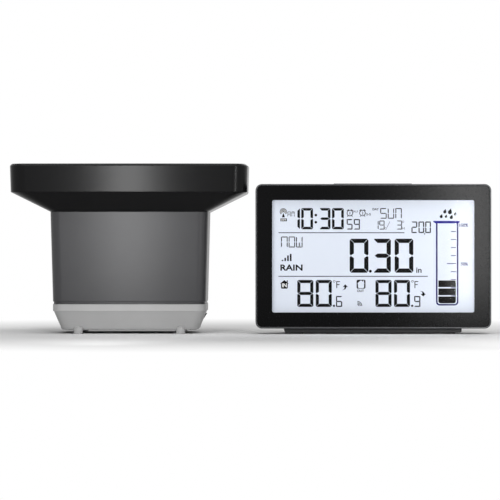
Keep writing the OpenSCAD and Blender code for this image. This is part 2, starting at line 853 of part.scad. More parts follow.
// Soft seal between the box and its door
module door_seal() color("#38393b") at_collector() difference() {
  to_back(box_back, box_back + seal_t)
    translate([0, box_low + box_h / 2]) square([box_w - fit, box_h - fit], center = true);
  to_back(box_back - overrun, box_back + seal_t + overrun)
    translate([0, box_low + box_h / 2])
      square([box_w - fit - 2 * seal_w, box_h - fit - 2 * seal_w], center = true);
}

// Two cells of the sensor, head to tail
module sensor_cells() color("#c58b3a") at_collector() {
  translate([cells_x - cell_l / 2, cell_y, low_cell_z]) cell();
  translate([cells_x + cell_l / 2, cell_y, high_cell_z]) mirror([1, 0, 0]) cell();
}

// Contact springs at the cells' flat ends
module sensor_springs() color("#cfd2d6") at_collector() {
  l = contact_l - plate_thin - 2 * snug;
  translate([cells_x - cells_w / 2 + plate_thin + snug, cell_y, low_cell_z]) contact_spring(l);
  translate([cells_x + cells_w / 2 - plate_thin - snug, cell_y, high_cell_z])
    mirror([1, 0, 0]) contact_spring(l);
}

// Contact plates on the box's end walls
module sensor_plates() color("#bfc2c6") at_collector() {
  for (z = [low_cell_z, high_cell_z], s = [-1, 1])
    translate([cells_x + s * (cells_w - plate_thin) / 2, cell_y, z])
      cube([plate_thin, plate_side, plate_side], center = true);
}

// Circuit board along the front wall of the box
module sensor_board() color("#2f6b3c") at_collector()
  block([-box_w / 2 + box_wall + board_in, board_y, box_low + box_wall + board_in],
        [box_w / 2 - box_wall - board_in, board_y + board_t, box_low + box_h - box_wall - board_in]);

// Controller on the board
module sensor_chip() color("#26282b") at_collector()
  block([cells_x + chip_in, board_y + board_t, low_cell_z - chip_w / 2],
        [cells_x + chip_in + chip_w, board_y + board_t + chip_t, low_cell_z + chip_w / 2]);

// Shielded radio module
module sensor_radio() color("#b7babd") at_collector()
  block([cells_x - radio_in - radio_w, board_y + board_t, high_cell_z - radio_h / 2],
        [cells_x - radio_in, board_y + board_t + radio_t, high_cell_z + radio_h / 2]);

// Wire aerial, upright beside the radio
module sensor_antenna() color("#c8a24a") at_collector()
  rod_z([cells_x, board_y + board_t + aerial_r, high_cell_z - aerial_low], aerial_r, aerial_h);

// Small switch under the reset plunger
module reset_switch() color("#3a3c40") at_collector() {
  back = board_y + board_t;
  block([bay_x - reset_base / 2, back, plunger_z - reset_base / 2],
        [bay_x + reset_base / 2, back + reset_base_t, plunger_z + reset_base / 2]);
}

// Reset plunger, reached with the door off
module reset_plunger() color("#d34b38") at_collector() {
  start = board_y + board_t + reset_base_t + plunger_travel + fit;
  rod_y([bay_x, start, plunger_z], plunger_r, box_back - box_wall - start);
}

// Status lamp on its holder
module status_lamp() color("#e24a3b") at_collector() {
  back = board_y + board_t;
  rod_y([bay_x, back, lamp_z], lamp_r, lamp_l);
  translate([bay_x, back + lamp_l, lamp_z]) sphere(lamp_r);
}

// Bosses that the case screws go through, on the left and right
module case_corners() {
  for (x = [-1, 1], z = [z_case + corner_z, z_crown - corner_z])
    translate([x * corner_x, 0, z]) children();
}

// Outline of the display's case in X and Z
module case_outline(t) {
  translate([0, z_mid]) rounded(disp_w - 2 * t, disp_h - 2 * t, max(disp_r - t, min_r));
}

// Slot of the top bar, the same in both halves of the case
module bar_slot() {
  block([-bar_w / 2 - fit, bar_y - bar_d / 2 - fit, z_crown - disp_wall - overrun],
        [bar_w / 2 + fit, bar_y + bar_d / 2 + fit, z_crown + overrun]);
}

// Front half of the display's case: thin frame, ledge behind the panel, screw posts
module front_case() color("#4a4b4e") at_display() difference() {
  union() {
    difference() {
      to_back(0, split_y) case_outline(0);
      to_back(panel_t + ledge_t, split_y + overrun) case_outline(disp_wall);
    }
    case_corners() rod_y([0, panel_t + ledge_t / 2, 0], case_post_r, split_y - panel_t - ledge_t / 2);
  }
  to_back(-overrun, panel_t) case_outline(edge_w);
  to_back(0, split_y) translate([0, z_mid]) square([lens_w + fit, lens_h + fit], center = true);
  case_corners() rod_y([0, panel_t + ledge_t, 0], pilot_r, split_y);
  bar_slot();
}

// Glossy front panel with the screen's opening
module front_panel() color("#0b0b0d") at_display() difference() {
  to_back(0, panel_t) case_outline(edge_w + snug);
  to_back(-overrun, panel_t + overrun) translate([0, z_mid]) rounded(view_w, view_h, key_r);
}

// Clear lens behind the panel
module screen_lens() color("#dfe8ee", 0.4) at_display()
  to_back(lens_y, lens_y + lens_t) translate([0, z_mid]) square([lens_w, lens_h], center = true);

// Liquid crystal glass
module lcd_glass() color("#e6ecf6") at_display()
  to_back(glass_y, glass_y + glass_t) translate([0, z_mid]) square([lens_w, lens_h], center = true);

// Light guide behind the glass, above the contact strip
module backlight_plate() color("#f2f5f7") at_display()
  block([-lens_w / 2, guide_y, glass_low + strip_h + 2 * cell_gap],
        [lens_w / 2, guide_y + guide_t, glass_low + lens_h]);

// Lamps at the two ends of the light guide
module backlight_lamps() color("#f4e7b0") at_display() both_sides()
  block([lens_w / 2, guide_y, z_mid - lamp_h / 2],
        [lens_w / 2 + lamp_w, guide_y + guide_t, z_mid + lamp_h / 2]);

// Rubber contact strip between glass and board
module contact_strip() color("#e8a0a8") at_display()
  block([-strip_w / 2, guide_y, glass_low + cell_gap],
        [strip_w / 2, main_y, glass_low + cell_gap + strip_h]);

// Main circuit board
module display_board() color("#2f6b3c") at_display()
  block([-main_w / 2, main_y, main_low], [main_w / 2, main_y + board_t, main_top]);

// Controller under a round drop of resin
module display_chip() color("#1c1d1f") at_display()
  translate([0, main_y + board_t, z_mid]) rotate([-90, 0, 0]) rotate_extrude() polygon(concat(
    [[0, 0]], [for (i = [0:corner_steps - 1]) let (t = 90 * i / corner_steps)
      [blob_r * cos(t), blob_t * sin(t)]], [[0, blob_t]]));

// Receiver module
module display_radio() color("#b7babd") at_display()
  block([-main_w / 2 + radio_in, main_y + board_t, z_mid - radio_h / 2],
        [-main_w / 2 + radio_in + radio_w, main_y + board_t + radio_t, z_mid + radio_h / 2]);

// Receiver's wire aerial along the board
module display_antenna() color("#c8a24a") at_display()
  rod_x([-main_w / 2 + radio_in + radio_w + radio_t, main_y + board_t + aerial_r, z_mid + radio_h],
    aerial_r, aerial_l);

// Sounder on the inside of the rear wall
module buzzer() color("#c9a95a") at_display()
  rod_y([vent_x - buzzer_r / 2, rear_y - buzzer_t, z_mid + radio_h / 2], buzzer_r, buzzer_t);

// Room temperature sensor behind the vents
module room_sensor() color("#2b3e5c") at_display() {
  rod_y([-vent_x, main_y + board_t, vent_z], lead_r * 2, sensor_l);
  translate([-vent_x, main_y + board_t + sensor_l, vent_z]) sphere(sensor_r);
}

// Pads' places under the foot
module pad_places() {
  for (x = [-1, 1], y = [stand_front + pad_in, hump_back - pad_in])
    translate([x * (stand_w / 2 - pad_in), y, 0]) children();
}

// Centre of a rear key, counted from the left as seen from the front
function key_x(i) = key_pitch * (i - (len(rear_keys) - 1) / 2);

// Rear half of the case with the foot and the battery hump
module rear_case() color("#2e2f32") at_display() difference() {
  union() {
    difference() {
      to_back(split_y, disp_t) case_outline(0);
      to_back(split_y - overrun, disp_t - disp_wall) case_outline(disp_wall);
    }
    case_corners() rod_y([0, split_y, 0], case_head_r + head_wall, disp_t - disp_wall / 2 - split_y);
    to_back(stand_front, hump_y) intersection() {
      translate([0, z_case]) rounded(stand_w, 2 * (z_case - pad_t), hump_r);
      translate([-stand_w, pad_t]) square([2 * stand_w, z_case - pad_t]);
    }
    to_back(hump_y - disp_wall / 2, hump_back) translate([0, (hump_top + pad_t) / 2])
      rounded(stand_w, hump_top - pad_t, hump_r);
  }
  block([-bay_half, hump_y, z_case], [bay_half, hump_back + overrun, hump_top - hump_wall]);
  case_corners() {
    rod_y([0, split_y - overrun, 0], case_screw_r + snug, disp_t);
    rod_y([0, case_head_y, 0], case_head_r + snug, disp_t);
  }
  for (i = [0:len(rear_keys) - 1])
    to_back(disp_t - disp_wall - overrun, disp_t + overrun) translate([key_x(i), key_z])
      rounded(key_w + 2 * fit, key_h + 2 * fit, key_r + fit);
  for (i = [0:vent_count - 1]) let (x = -vent_x + vent_pitch * (i - (vent_count - 1) / 2))
    block([x - vent_w / 2, disp_t - disp_wall - overrun, vent_z - vent_h / 2],
          [x + vent_w / 2, disp_t + overrun, vent_z + vent_h / 2]);
  for (i = [0:sound_count - 1]) let (a = 360 * i / sound_count)
    rod_y([vent_x - buzzer_r / 2 + sound_ring * cos(a), disp_t - disp_wall - overrun,
           z_mid + radio_h / 2 + sound_ring * sin(a)], sound_r, disp_wall + 2 * overrun);
  bar_slot();
}

// Screws through the rear case into the front posts
module case_screws() color("#c9ccd0") at_display() case_corners()
  translate([0, case_head_y, 0]) rotate([-90, 0, 0])
    screw(case_head_r, case_head_t, case_screw_r, split_y - panel_t - ledge_t);

// Anti-slip pads
module foot_pads() color("#1f2022") at_display() pad_places() cylinder(r = pad_r, h = pad_t);

// Battery door at the back of the hump
module cell_door() color("#2e2f32") at_display() {
  low = z_case + door_fit;
  high = hump_top - hump_wall - door_fit;
  difference() {
    block([-bay_half + door_fit, hump_back - cell_door_t, low], [bay_half - door_fit, hump_back, high]);
    for (i = [0:grip_count - 1])
      block([-catch_w / 2, hump_back - catch_t, high - catch_h * (2 * i + 2)],
            [catch_w / 2, hump_back + overrun, high - catch_h * (2 * i + 1)]);
  }
}

// Two cells of the display in line
module display_cells() color("#c58b3a") at_display()
  for (x = [-cell_l, 0]) translate([x - tip_h, disp_cell_y, disp_cell_z]) cell();

// Contact spring at the left end of the row
module display_springs() color("#cfd2d6") at_display() {
  start = -bay_half + plate_thin + snug;
  translate([start, disp_cell_y, disp_cell_z])
    contact_spring(-cell_l - tip_h - snug - start);
}

// Contact plates at both ends of the row
module display_plates() color("#bfc2c6") at_display() {
  translate([-bay_half + plate_thin / 2, disp_cell_y, disp_cell_z])
    cube([plate_thin, plate_side, plate_side], center = true);
  block([cell_l - tip_h + snug, disp_cell_y - plate_side / 2, disp_cell_z - plate_side / 2],
        [bay_half, disp_cell_y + plate_side / 2, disp_cell_z + plate_side / 2]);
}

// Bar on top: snooze and light
module snooze_bar() color("#3f4043") at_display() {
  top = z_crown - disp_wall;
  translate([0, bar_y, top - key_gap]) linear_extrude(disp_wall + key_gap + bar_rise)
    rounded(bar_w, bar_d, bar_r);
  translate([0, bar_y, top - key_gap - bar_flange_t]) linear_extrude(bar_flange_t)
    rounded(bar_w + 2 * bar_flange, bar_d + 2 * bar_flange, bar_r);
  block([-bar_stem_w / 2, main_y + board_t, main_top + snooze_h / 2 + bar_travel + fit],
        [bar_stem_w / 2, main_y + board_t + bar_stem_w / 2, top - key_gap]);
}

// Switch under the bar, at the board's top edge
module snooze_switch() color("#3a3c40") at_display()
  block([-snooze_w / 2, main_y + board_t, main_top - snooze_h / 2],
        [snooze_w / 2, main_y + board_t + switch_t, main_top + snooze_h / 2]);

// Switches under the rear keys
module key_switches() color("#3a3c40") at_display()
  for (i = [0:len(rear_keys) - 1])
    translate([key_x(i), main_y + board_t, key_z]) {
      block([-switch_w / 2, 0, -switch_w / 2], [switch_w / 2, switch_t, switch_w / 2]);
      rod_y([0, switch_t, 0], button_r, key_travel);
    }

// One rear key: cap, flange behind the wall and stem over its switch
module rear_key(i) at_display() translate([key_x(i), 0, key_z]) {
  flange_back = disp_t - disp_wall - key_gap;
  stem = main_y + board_t + switch_t + key_travel * 2 + fit;
  to_back(flange_back, disp_t + key_rise) rounded(key_w, key_h, key_r);
  to_back(flange_back - key_flange_t, flange_back)
    rounded(key_w + 2 * key_flange, key_h + 2 * key_flange, key_r);
  rod_y([0, stem, 0], key_stem_r, flange_back - stem);
}

module set_key() color("#6a6c70") rear_key(0);
module alarm_key() color("#6a6c70") rear_key(1);
module history_key() color("#6a6c70") rear_key(2);
module units_key() color("#6a6c70") rear_key(3);
module up_key() color("#6a6c70") rear_key(4);
module down_key() color("#6a6c70") rear_key(5);

funnel();
collector_housing();
leaf_screen();
base_tray();
drain_screens();
bucket_cradle();
cradle_screws();
stop_screws();
tipping_bucket();
bucket_axle();
bucket_magnet();
reed_switch();
sensor_box();
box_screws();
sensor_door();
door_seal();
sensor_cells();
sensor_springs();
sensor_plates();
sensor_board();
sensor_chip();
sensor_radio();
sensor_antenna();
reset_switch();
reset_plunger();
status_lamp();
front_case();
front_panel();
screen_lens();
lcd_glass();
backlight_plate();
backlight_lamps();
contact_strip();
display_board();
display_chip();
display_radio();
display_antenna();
buzzer();
room_sensor();
rear_case();
case_screws();
foot_pads();
cell_door();
display_cells();
display_springs();
display_plates();
snooze_bar();
snooze_switch();
key_switches();
set_key();
alarm_key();
history_key();
units_key();
up_key();
down_key();
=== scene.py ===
import json
import math

import bmesh
import bpy
from mathutils import Matrix, Vector

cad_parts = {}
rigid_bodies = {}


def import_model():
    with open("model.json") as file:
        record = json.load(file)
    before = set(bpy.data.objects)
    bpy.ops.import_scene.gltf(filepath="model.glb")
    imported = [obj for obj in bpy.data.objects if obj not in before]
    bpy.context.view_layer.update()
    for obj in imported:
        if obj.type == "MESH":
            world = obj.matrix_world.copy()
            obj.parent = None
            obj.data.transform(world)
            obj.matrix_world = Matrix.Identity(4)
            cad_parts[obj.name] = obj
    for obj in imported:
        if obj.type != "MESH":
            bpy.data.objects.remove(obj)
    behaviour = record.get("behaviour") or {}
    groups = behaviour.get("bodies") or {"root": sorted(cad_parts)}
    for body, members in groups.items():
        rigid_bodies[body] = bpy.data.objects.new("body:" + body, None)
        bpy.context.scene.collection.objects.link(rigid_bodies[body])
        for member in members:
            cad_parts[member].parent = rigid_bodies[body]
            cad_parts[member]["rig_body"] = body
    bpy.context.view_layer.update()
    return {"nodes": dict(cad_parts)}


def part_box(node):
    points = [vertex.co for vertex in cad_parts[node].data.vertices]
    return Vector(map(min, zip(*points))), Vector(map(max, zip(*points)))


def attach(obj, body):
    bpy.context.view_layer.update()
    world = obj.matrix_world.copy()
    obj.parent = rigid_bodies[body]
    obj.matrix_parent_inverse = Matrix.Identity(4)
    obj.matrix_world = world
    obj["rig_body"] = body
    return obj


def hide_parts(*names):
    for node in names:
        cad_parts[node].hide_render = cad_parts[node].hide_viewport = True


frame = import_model()
print("frame loaded")

mm = 0.001

# Where the two units stand: the collector on its own axis, the console on its front face
collectorX = (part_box("base_tray")[0].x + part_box("base_tray")[1].x) / 2 / mm
frontCaseLow, frontCaseHigh = (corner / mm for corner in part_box("front_case"))
consoleX = (frontCaseLow.x + frontCaseHigh.x) / 2
consoleZ = (frontCaseLow.z + frontCaseHigh.z) / 2
collectorPlace = Matrix.Translation((collectorX, 0, 0))
# Local X and Y are the console's width and height, and local Z is the depth behind its front
consolePlace = Matrix(((1, 0, 0, consoleX), (0, 0, 1, frontCaseLow.y), (0, 1, 0, consoleZ),
                       (0, 0, 0, 1)))


def linearColour(hexText):
    parts = [int(hexText[i:i + 2], 16) / 255 for i in (1, 3, 5)]
    return [p / 12.92 if p <= 0.04045 else ((p + 0.055) / 1.055) ** 2.4 for p in parts] + [1]


def addNode(tree, kind, inputs, **settings):
    node = tree.nodes.new(kind)
    for key, value in settings.items():
        setattr(node, key, value)
    for key, value in inputs.items():
        if isinstance(value, bpy.types.NodeSocket):
            tree.links.new(value, node.inputs[key])
        else:
            node.inputs[key].default_value = value
    return node


def newMaterial(name):
    material = bpy.data.materials.new(name)
    material.use_nodes = True
    material.node_tree.nodes.clear()
    return material, material.node_tree


# Moulded plastics, rubbers and metals share one build: a soft mottle of two close tones,
# a grain whose size is in millimetres, and a roughness that wanders a little
noiseLook = {"grainDetail": 3.0, "grainRough": 0.6, "mottleDetail": 4.0, "low": 0.3, "high": 0.7}
plainIor = 1.5


def mouldedFinish(name, look):
    material, tree = newMaterial(name)
    place = addNode(tree, "ShaderNodeTexCoord", {})
    grainScale = 1 / (look["grainMm"] * mm)
    mottleScale = 1 / (look["mottleMm"] * mm)
    grain = addNode(tree, "ShaderNodeTexNoise",
                    {"Vector": place.outputs["Object"], "Scale": grainScale,
                     "Detail": noiseLook["grainDetail"], "Roughness": noiseLook["grainRough"]})
    mottle = addNode(tree, "ShaderNodeTexNoise",
                     {"Vector": place.outputs["Object"], "Scale": mottleScale,
                      "Detail": noiseLook["mottleDetail"]})
    tones = addNode(tree, "ShaderNodeMix",
                    {"Factor": mottle.outputs["Fac"], "A": linearColour(look["dark"]),
                     "B": linearColour(look["light"])}, data_type="RGBA")
    rough = addNode(tree, "ShaderNodeMapRange",
                    {"Value": grain.outputs["Fac"], "From Min": noiseLook["low"],
                     "From Max": noiseLook["high"],
                     "To Min": look["rough"] - look["roughSpread"],
                     "To Max": look["rough"] + look["roughSpread"]})
    bump = addNode(tree, "ShaderNodeBump",
                   {"Height": grain.outputs["Fac"], "Strength": look["bump"],
                    "Distance": look["grainMm"] * mm / 2})
    shader = addNode(tree, "ShaderNodeBsdfPrincipled",
                     {"Base Color": tones.outputs["Result"], "Roughness": rough.outputs["Result"],
                      "Normal": bump.outputs["Normal"], "Metallic": look.get("metal", 0.0)})
    if "metal" not in look:
        shader.inputs["IOR"].default_value = plainIor
    if "specular" in look:
        shader.inputs["Specular IOR Level"].default_value = look["specular"]
    if "coat" in look:
        shader.inputs["Coat Weight"].default_value = look["coat"]
        shader.inputs["Coat Roughness"].default_value = look["coatRough"]
    # Painted glow: emission in the light tone, standing in for light that evens out shade
    if "glow" in look:
        shader.inputs["Emission Color"].default_value = linearColour(look["light"])
        shader.inputs["Emission Strength"].default_value = look["glow"]
    addNode(tree, "ShaderNodeOutputMaterial", {"Surface": shader.outputs["BSDF"]})
    return material


# Clear plastics and glass: see-through by alpha, with a faint tint
def clearFinish(name, look):
    material, tree = newMaterial(name)
    place = addNode(tree, "ShaderNodeTexCoord", {})
    ripple = addNode(tree, "ShaderNodeTexNoise",
                     {"Vector": place.outputs["Object"], "Scale": 1 / (look["rippleMm"] * mm)})
    rough = addNode(tree, "ShaderNodeMapRange",
                    {"Value": ripple.outputs["Fac"], "To Min": look["rough"],
                     "To Max": look["rough"] + look["roughSpread"]})
    shader = addNode(tree, "ShaderNodeBsdfPrincipled",
                     {"Base Color": linearColour(look["tint"]), "Alpha": look["alpha"],
                      "Roughness": rough.outputs["Result"], "IOR": look["ior"]})
    addNode(tree, "ShaderNodeOutputMaterial", {"Surface": shader.outputs["BSDF"]})
    return material


# Each finish: darker and lighter tone, roughness and its spread, grain and mottle in
# millimetres, strength of the grain, and what sets it apart where it is not plain plastic
# Strength of the painted glow on the screen, which lifts the shade in its recess
screenPaintedGlow = 0.25
finishColumns = ("dark", "light", "rough", "roughSpread", "grainMm", "mottleMm", "bump")
finishLooks = {
    # Satin injection-moulded ABS: a broad soft highlight on near black
    "satinAbsBlack": ("#0b0b0c", "#0d0d0e", 0.235, 0.02, 0.5, 18, 0.03, {"specular": 0.13}),
    # Spark-textured ABS: dark grey with a satin sheen and an even grain, drawn coarser to show
    "sparkAbsGrey": ("#3c3c3e", "#414143", 0.34, 0.04, 0.45, 14, 0.08, {"specular": 0.27}),
    # Plain moulded ABS in light grey: matt, it keeps the tray pale under the dark housing
    "mouldedAbsLight": ("#a9a9a9", "#b3b3b3", 0.5, 0.05, 0.6, 16, 0.1),
    # Moulded ABS of the box, a little darker and duller, so that it reads as an inner part
    "mouldedAbsBox": ("#9c9ea0", "#a6a8aa", 0.55, 0.05, 0.6, 12, 0.12),
    # Moulded acetal of the bucket and cradle: dense, slightly waxy
    "acetalBlack": ("#161719", "#1d1e21", 0.38, 0.05, 0.5, 8, 0.08),
    "acetalGrey": ("#303236", "#393b3f", 0.42, 0.05, 0.5, 8, 0.08),
    # Piano-black acrylic panel: a hard clear gloss
    "pianoBlackAcrylic": ("#020203", "#030304", 0.27, 0.01, 0.9, 30, 0.01, {"specular": 0.08}),
    # Painted case frame: a fine even coat whose soft sheen draws the thin edge of the front
    "paintedCharcoal": ("#3c3d40", "#444548", 0.4, 0.03, 0.4, 12, 0.06),
    # Spark-textured black ABS of the console's back: dull, with a grain that hides its size
    "sparkAbsBlack": ("#1b1c1e", "#232427", 0.58, 0.06, 0.45, 12, 0.22),
    # Satin moulding of the top bar: one tone lighter than the case, so that it stands out
    "satinBar": ("#26272a", "#2d2e31", 0.42, 0.04, 0.4, 10, 0.08),
    # Moulded silicone rubber of keys, pads and seal: nearly without gloss
    "siliconeGrey": ("#5d5f63", "#67696d", 0.68, 0.05, 0.4, 5, 0.1),
    "siliconeBlack": ("#16171a", "#1d1e21", 0.75, 0.06, 0.5, 6, 0.15),
    # Layered silicone of the contact strip: pink and soft, with fine carbon lines
    "siliconePink": ("#c98f93", "#d69da1", 0.6, 0.05, 0.6, 5, 0.05),
    # Woven stainless wire of the drain screens: brushed grey that catches small lights
    "stainlessWire": ("#8f9294", "#b0b3b5", 0.34, 0.08, 0.3, 3, 0.1, {"metal": 1.0}),
    # Nickel-plated steel of screws, springs and cans: bright and slightly uneven
    "platedSteel": ("#a9acb0", "#c4c7ca", 0.28, 0.07, 0.25, 2, 0.06, {"metal": 1.0}),
    # Turned brass of the stop screws and sounder: warm, with fine tool marks
    "turnedBrass": ("#b28a44", "#cda55a", 0.27, 0.06, 0.3, 3, 0.08, {"metal": 1.0}),
    # Drawn copper wire of the aerials: a warm thin line
    "copperWire": ("#a25f35", "#bd7546", 0.3, 0.05, 0.3, 3, 0.04, {"metal": 1.0}),
    # Printed shrink film on the cells: plain blue with a thin gloss coat
    "cellWrap": ("#1c3d63", "#22476f", 0.3, 0.04, 0.8, 10, 0.03, {"coat": 0.4, "coatRough": 0.2}),
    # Green solder resist over glass fibre: glossy, with the weave just showing
    "solderResist": ("#174a26", "#1f5e32", 0.33, 0.08, 0.9, 3, 0.12),
    # Poured resin over the controllers: black, glossy and slightly wavy
    "pottingResin": ("#0d0d0f", "#141416", 0.2, 0.05, 1.5, 4, 0.08),
    # Gloss red moulding of the reset plunger: the one warm spot at the box
    "glossRed": ("#9e1f17", "#b3261c", 0.3, 0.04, 0.6, 4, 0.03),
    # Dipped blue resin of the room sensor's bead
    "resinBlue": ("#1d3156", "#243b66", 0.35, 0.04, 0.6, 2, 0.05),
    # Pale yellow phosphor over the lamps of the light guide
    "phosphorPale": ("#e3d49a", "#efe2ae", 0.45, 0.04, 0.5, 2, 0.03),
    # Frosted acrylic light guide behind the glass: white and even
    "frostedGuide": ("#e8edf0", "#f4f8fa", 0.4, 0.05, 0.8, 10, 0.05),
    # Polariser film on the screen: pale blue white and matt, with a painted glow that evens out the
    # shade of its recess
    "screenPolariser": ("#e2e9f6", "#e6edf9", 0.5, 0.02, 1.2, 25, 0.0,
                        {"specular": 0.1, "glow": screenPaintedGlow}),
}
# Inks and crystal segments of the screen: printed flat and matt
for ink, dark, light in (("segmentBlack", "#030304", "#060607"),
                         ("segmentGrey", "#62666b", "#696d72"),
                         ("ruleSlate", "#42474d", "#4a4f55"), ("inkNavy", "#100a64", "#140e6e"),
                         ("inkBlue", "#1e1a92", "#221e9c"), ("inkViolet", "#3d3478", "#453b84")):
    finishLooks[ink] = (dark, light, 0.6, 0.03, 0.6, 8, 0.0, {"specular": 0.1})
# White of the screen round its dark marks, with the same painted glow as the screen
finishLooks["haloWhite"] = ("#fbfcff", "#ffffff", 0.6, 0.02, 0.8, 12, 0.0,
                            {"specular": 0.1, "glow": screenPaintedGlow})
finishes = {}
for name, row in finishLooks.items():
    look = dict(zip(finishColumns, row))
    for extra in row[len(finishColumns):]:
        look.update(extra)
    finishes[name] = mouldedFinish(name, look)
# Clear acrylic lens: all but invisible from the front, with a faint gloss
finishes["clearAcrylic"] = clearFinish("clearAcrylic", {
    "tint": "#0c0e10", "alpha": 0.04, "rough": 0.06, "roughSpread": 0.03, "rippleMm": 20,
    "ior": 1.49})
# Drawn glass of the reed switch: greenish, its blades can be guessed
finishes["reedGlass"] = clearFinish("reedGlass", {
    "tint": "#cfe6d8", "alpha": 0.45, "rough": 0.04, "roughSpread": 0.04, "rippleMm": 2,
    "ior": 1.5})
# Cast red epoxy of the status lamp: clear, deeper in its middle
finishes["lampEpoxy"] = clearFinish("lampEpoxy", {
    "tint": "#d8322a", "alpha": 0.75, "rough": 0.12, "roughSpread": 0.06, "rippleMm": 1.5,
    "ior": 1.55})
print("finishes made")

# Rings: every shell is a closed ring of steps that is extruded from tier to tier
cornerSteps = 12
sideSteps = 8
ringSteps = 4 * (cornerSteps + sideSteps)


def outlinePoint(step, width, depth, radius, bow):
    quarter, k = divmod(step, cornerSteps + sideSteps)
    a, b = width / 2 - bow, depth / 2 - bow
    if k <= cornerSteps:
        turn = math.radians(90 * (quarter + k / cornerSteps))
        towardsX = 1 if quarter in (0, 3) else -1
        towardsY = 1 if quarter < 2 else -1
        return Vector((towardsX * (a - radius) + radius * math.cos(turn),
                       towardsY * (b - radius) + radius * math.sin(turn)))
    t = 1 - 2 * (k - cornerSteps) / sideSteps
    out = bow * (1 - t * t)
    along, across = t * (a - radius), t * (b - radius)
    return Vector([(along, b + out), (-a - out, across), (-along, -b - out),
                   (a + out, -across)][quarter])


def kindOf(made, kind):
    return [item for item in made if isinstance(item, kind)]


def placeRing(verts, steps, tier, bow):
    width, depth, radius, height = tier[:4]
    for vert in verts:
        flat = outlinePoint(vert[steps], width, depth, radius, bow)
        if len(tier) == 5:  # drawn in to a circle of this radius
            flat = flat.normalized() * tier[4]
        vert.co = (flat.x, flat.y, height)


def ringShell(tiers, bow=0, closed=True):
    bm = bmesh.new()
    steps = bm.verts.layers.int.new("step")
    ring = bmesh.ops.create_circle(bm, segments=ringSteps, radius=1)["verts"]
    for index, vert in enumerate(ring):
        vert[steps] = index
    placeRing(ring, steps, tiers[0], bow)
    firstEdges = edges = list(bm.edges)
    for tier in tiers[1:]:
        made = bmesh.ops.extrude_edge_only(bm, edges=edges)["geom"]
        edges = kindOf(made, bmesh.types.BMEdge)
        placeRing(kindOf(made, bmesh.types.BMVert), steps, tier, bow)
    if closed:
        bmesh.ops.bridge_loops(bm, edges=firstEdges + edges)
    else:
        bmesh.ops.contextual_create(bm, geom=firstEdges)
        bmesh.ops.contextual_create(bm, geom=edges)
    return bm


leastRadius = 0.4
weld = 0.001  # points of a spun shape that are closer than this are one
roundSteps = 32


def grown(size, wall):
    return (size[0] + 2 * wall, size[1] + 2 * wall, max(size[2] + wall, leastRadius))


def drawnIn(size, step):
    return (size[0] - 2 * step, size[1] - 2 * step, size[2])


def addBlock(bm, low, high):
    size = Vector(high) - Vector(low)
    place = Matrix.Translation((Vector(low) + Vector(high)) / 2) @ Matrix.Diagonal((*size, 1))
    bmesh.ops.create_cube(bm, size=1, matrix=place)


def addRod(bm, base, radius, length):
    place = Matrix.Translation(Vector(base) + Vector((0, 0, length / 2)))
    bmesh.ops.create_cone(bm, cap_ends=True, segments=roundSteps, radius1=radius,
                          radius2=radius, depth=length, matrix=place)


def makePiece(bm, name, place, recalc=True):
    bmesh.ops.transform(bm, matrix=Matrix.Scale(mm, 4) @ place, verts=bm.verts)
    if recalc:
        bmesh.ops.recalc_face_normals(bm, faces=bm.faces)
    mesh = bpy.data.meshes.new(name)
    bm.to_mesh(mesh)
    bm.free()
    piece = bpy.data.objects.new(name, mesh)
    bpy.context.scene.collection.objects.link(piece)
    return piece


# Cuts leave no edge shorter than this, which would keep the rounding off the whole piece
sliver = 0.02


def carve(piece, cutter):
    tool = piece.modifiers.new("carve", "BOOLEAN")
    tool.operation, tool.solver, tool.object = "DIFFERENCE", "EXACT", cutter
    bpy.context.view_layer.update()
    shaped = piece.evaluated_get(bpy.context.evaluated_depsgraph_get())
    mesh = bpy.data.meshes.new_from_object(shaped)
    bm = bmesh.new()
    bm.from_mesh(mesh)
    bmesh.ops.dissolve_degenerate(bm, dist=sliver * mm, edges=bm.edges)
    bm.to_mesh(mesh)
    bm.free()
    piece.modifiers.clear()
    piece.data = mesh
    bpy.data.objects.remove(cutter)


# Widths of the rounded edges, and the least angle between two faces that is rounded
edgeWidths = {"plain": 0.3, "funnel": 0.35, "tongue": 0.25, "tray": 0.15, "frame": 0.35,
              "panel": 0.2}
edgeAngle = 28


def dress(piece, body, finish, replaced=(), edgeMm=edgeWidths["plain"], edgeSteps=3):
    piece.data.materials.clear()
    piece.data.materials.append(finishes[finish])
    piece.data.shade_smooth()
    if edgeMm:
        edge = piece.modifiers.new("edgeRound", "BEVEL")
        edge.width, edge.segments = edgeMm * mm, edgeSteps
        edge.limit_method, edge.angle_limit = "ANGLE", math.radians(edgeAngle)
        edge.use_clamp_overlap = True
        flat = piece.modifiers.new("flatFaces", "WEIGHTED_NORMAL")
        flat.mode = "FACE_AREA"
    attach(piece, body)
    if replaced:
        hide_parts(*replaced)
    return piece


# Collector sizes in millimetres
z = {"tub": 2.4, "floor": 4.6, "lip": 14.6, "body": 18.9, "ledge": 58, "well": 63, "flare": 77.9,
     "rim": 90.3, "top": 108.3, "nozzle": 51}
faceBow = 0.8
rimTop = (153, 100, 10.4)
rimLow = drawnIn(rimTop, 0.5)
bodyTop = (102.4, 78, 6.4)
bodyLow = drawnIn(bodyTop, 1.5)
tubTop = drawnIn(bodyLow, 0.5)
tubLow = drawnIn(tubTop, 4.2)

funnel = {"wall": 2.2, "chamfer": 1.3, "skirtGap": 2.3, "skirtWall": 1.8, "skirtDrop": 4,
          "wellRadius": 12.6, "ledge": 2.2, "coneDrop": 2.8, "nozzleRadius": 2.4,
          "nozzleWall": 1.8}


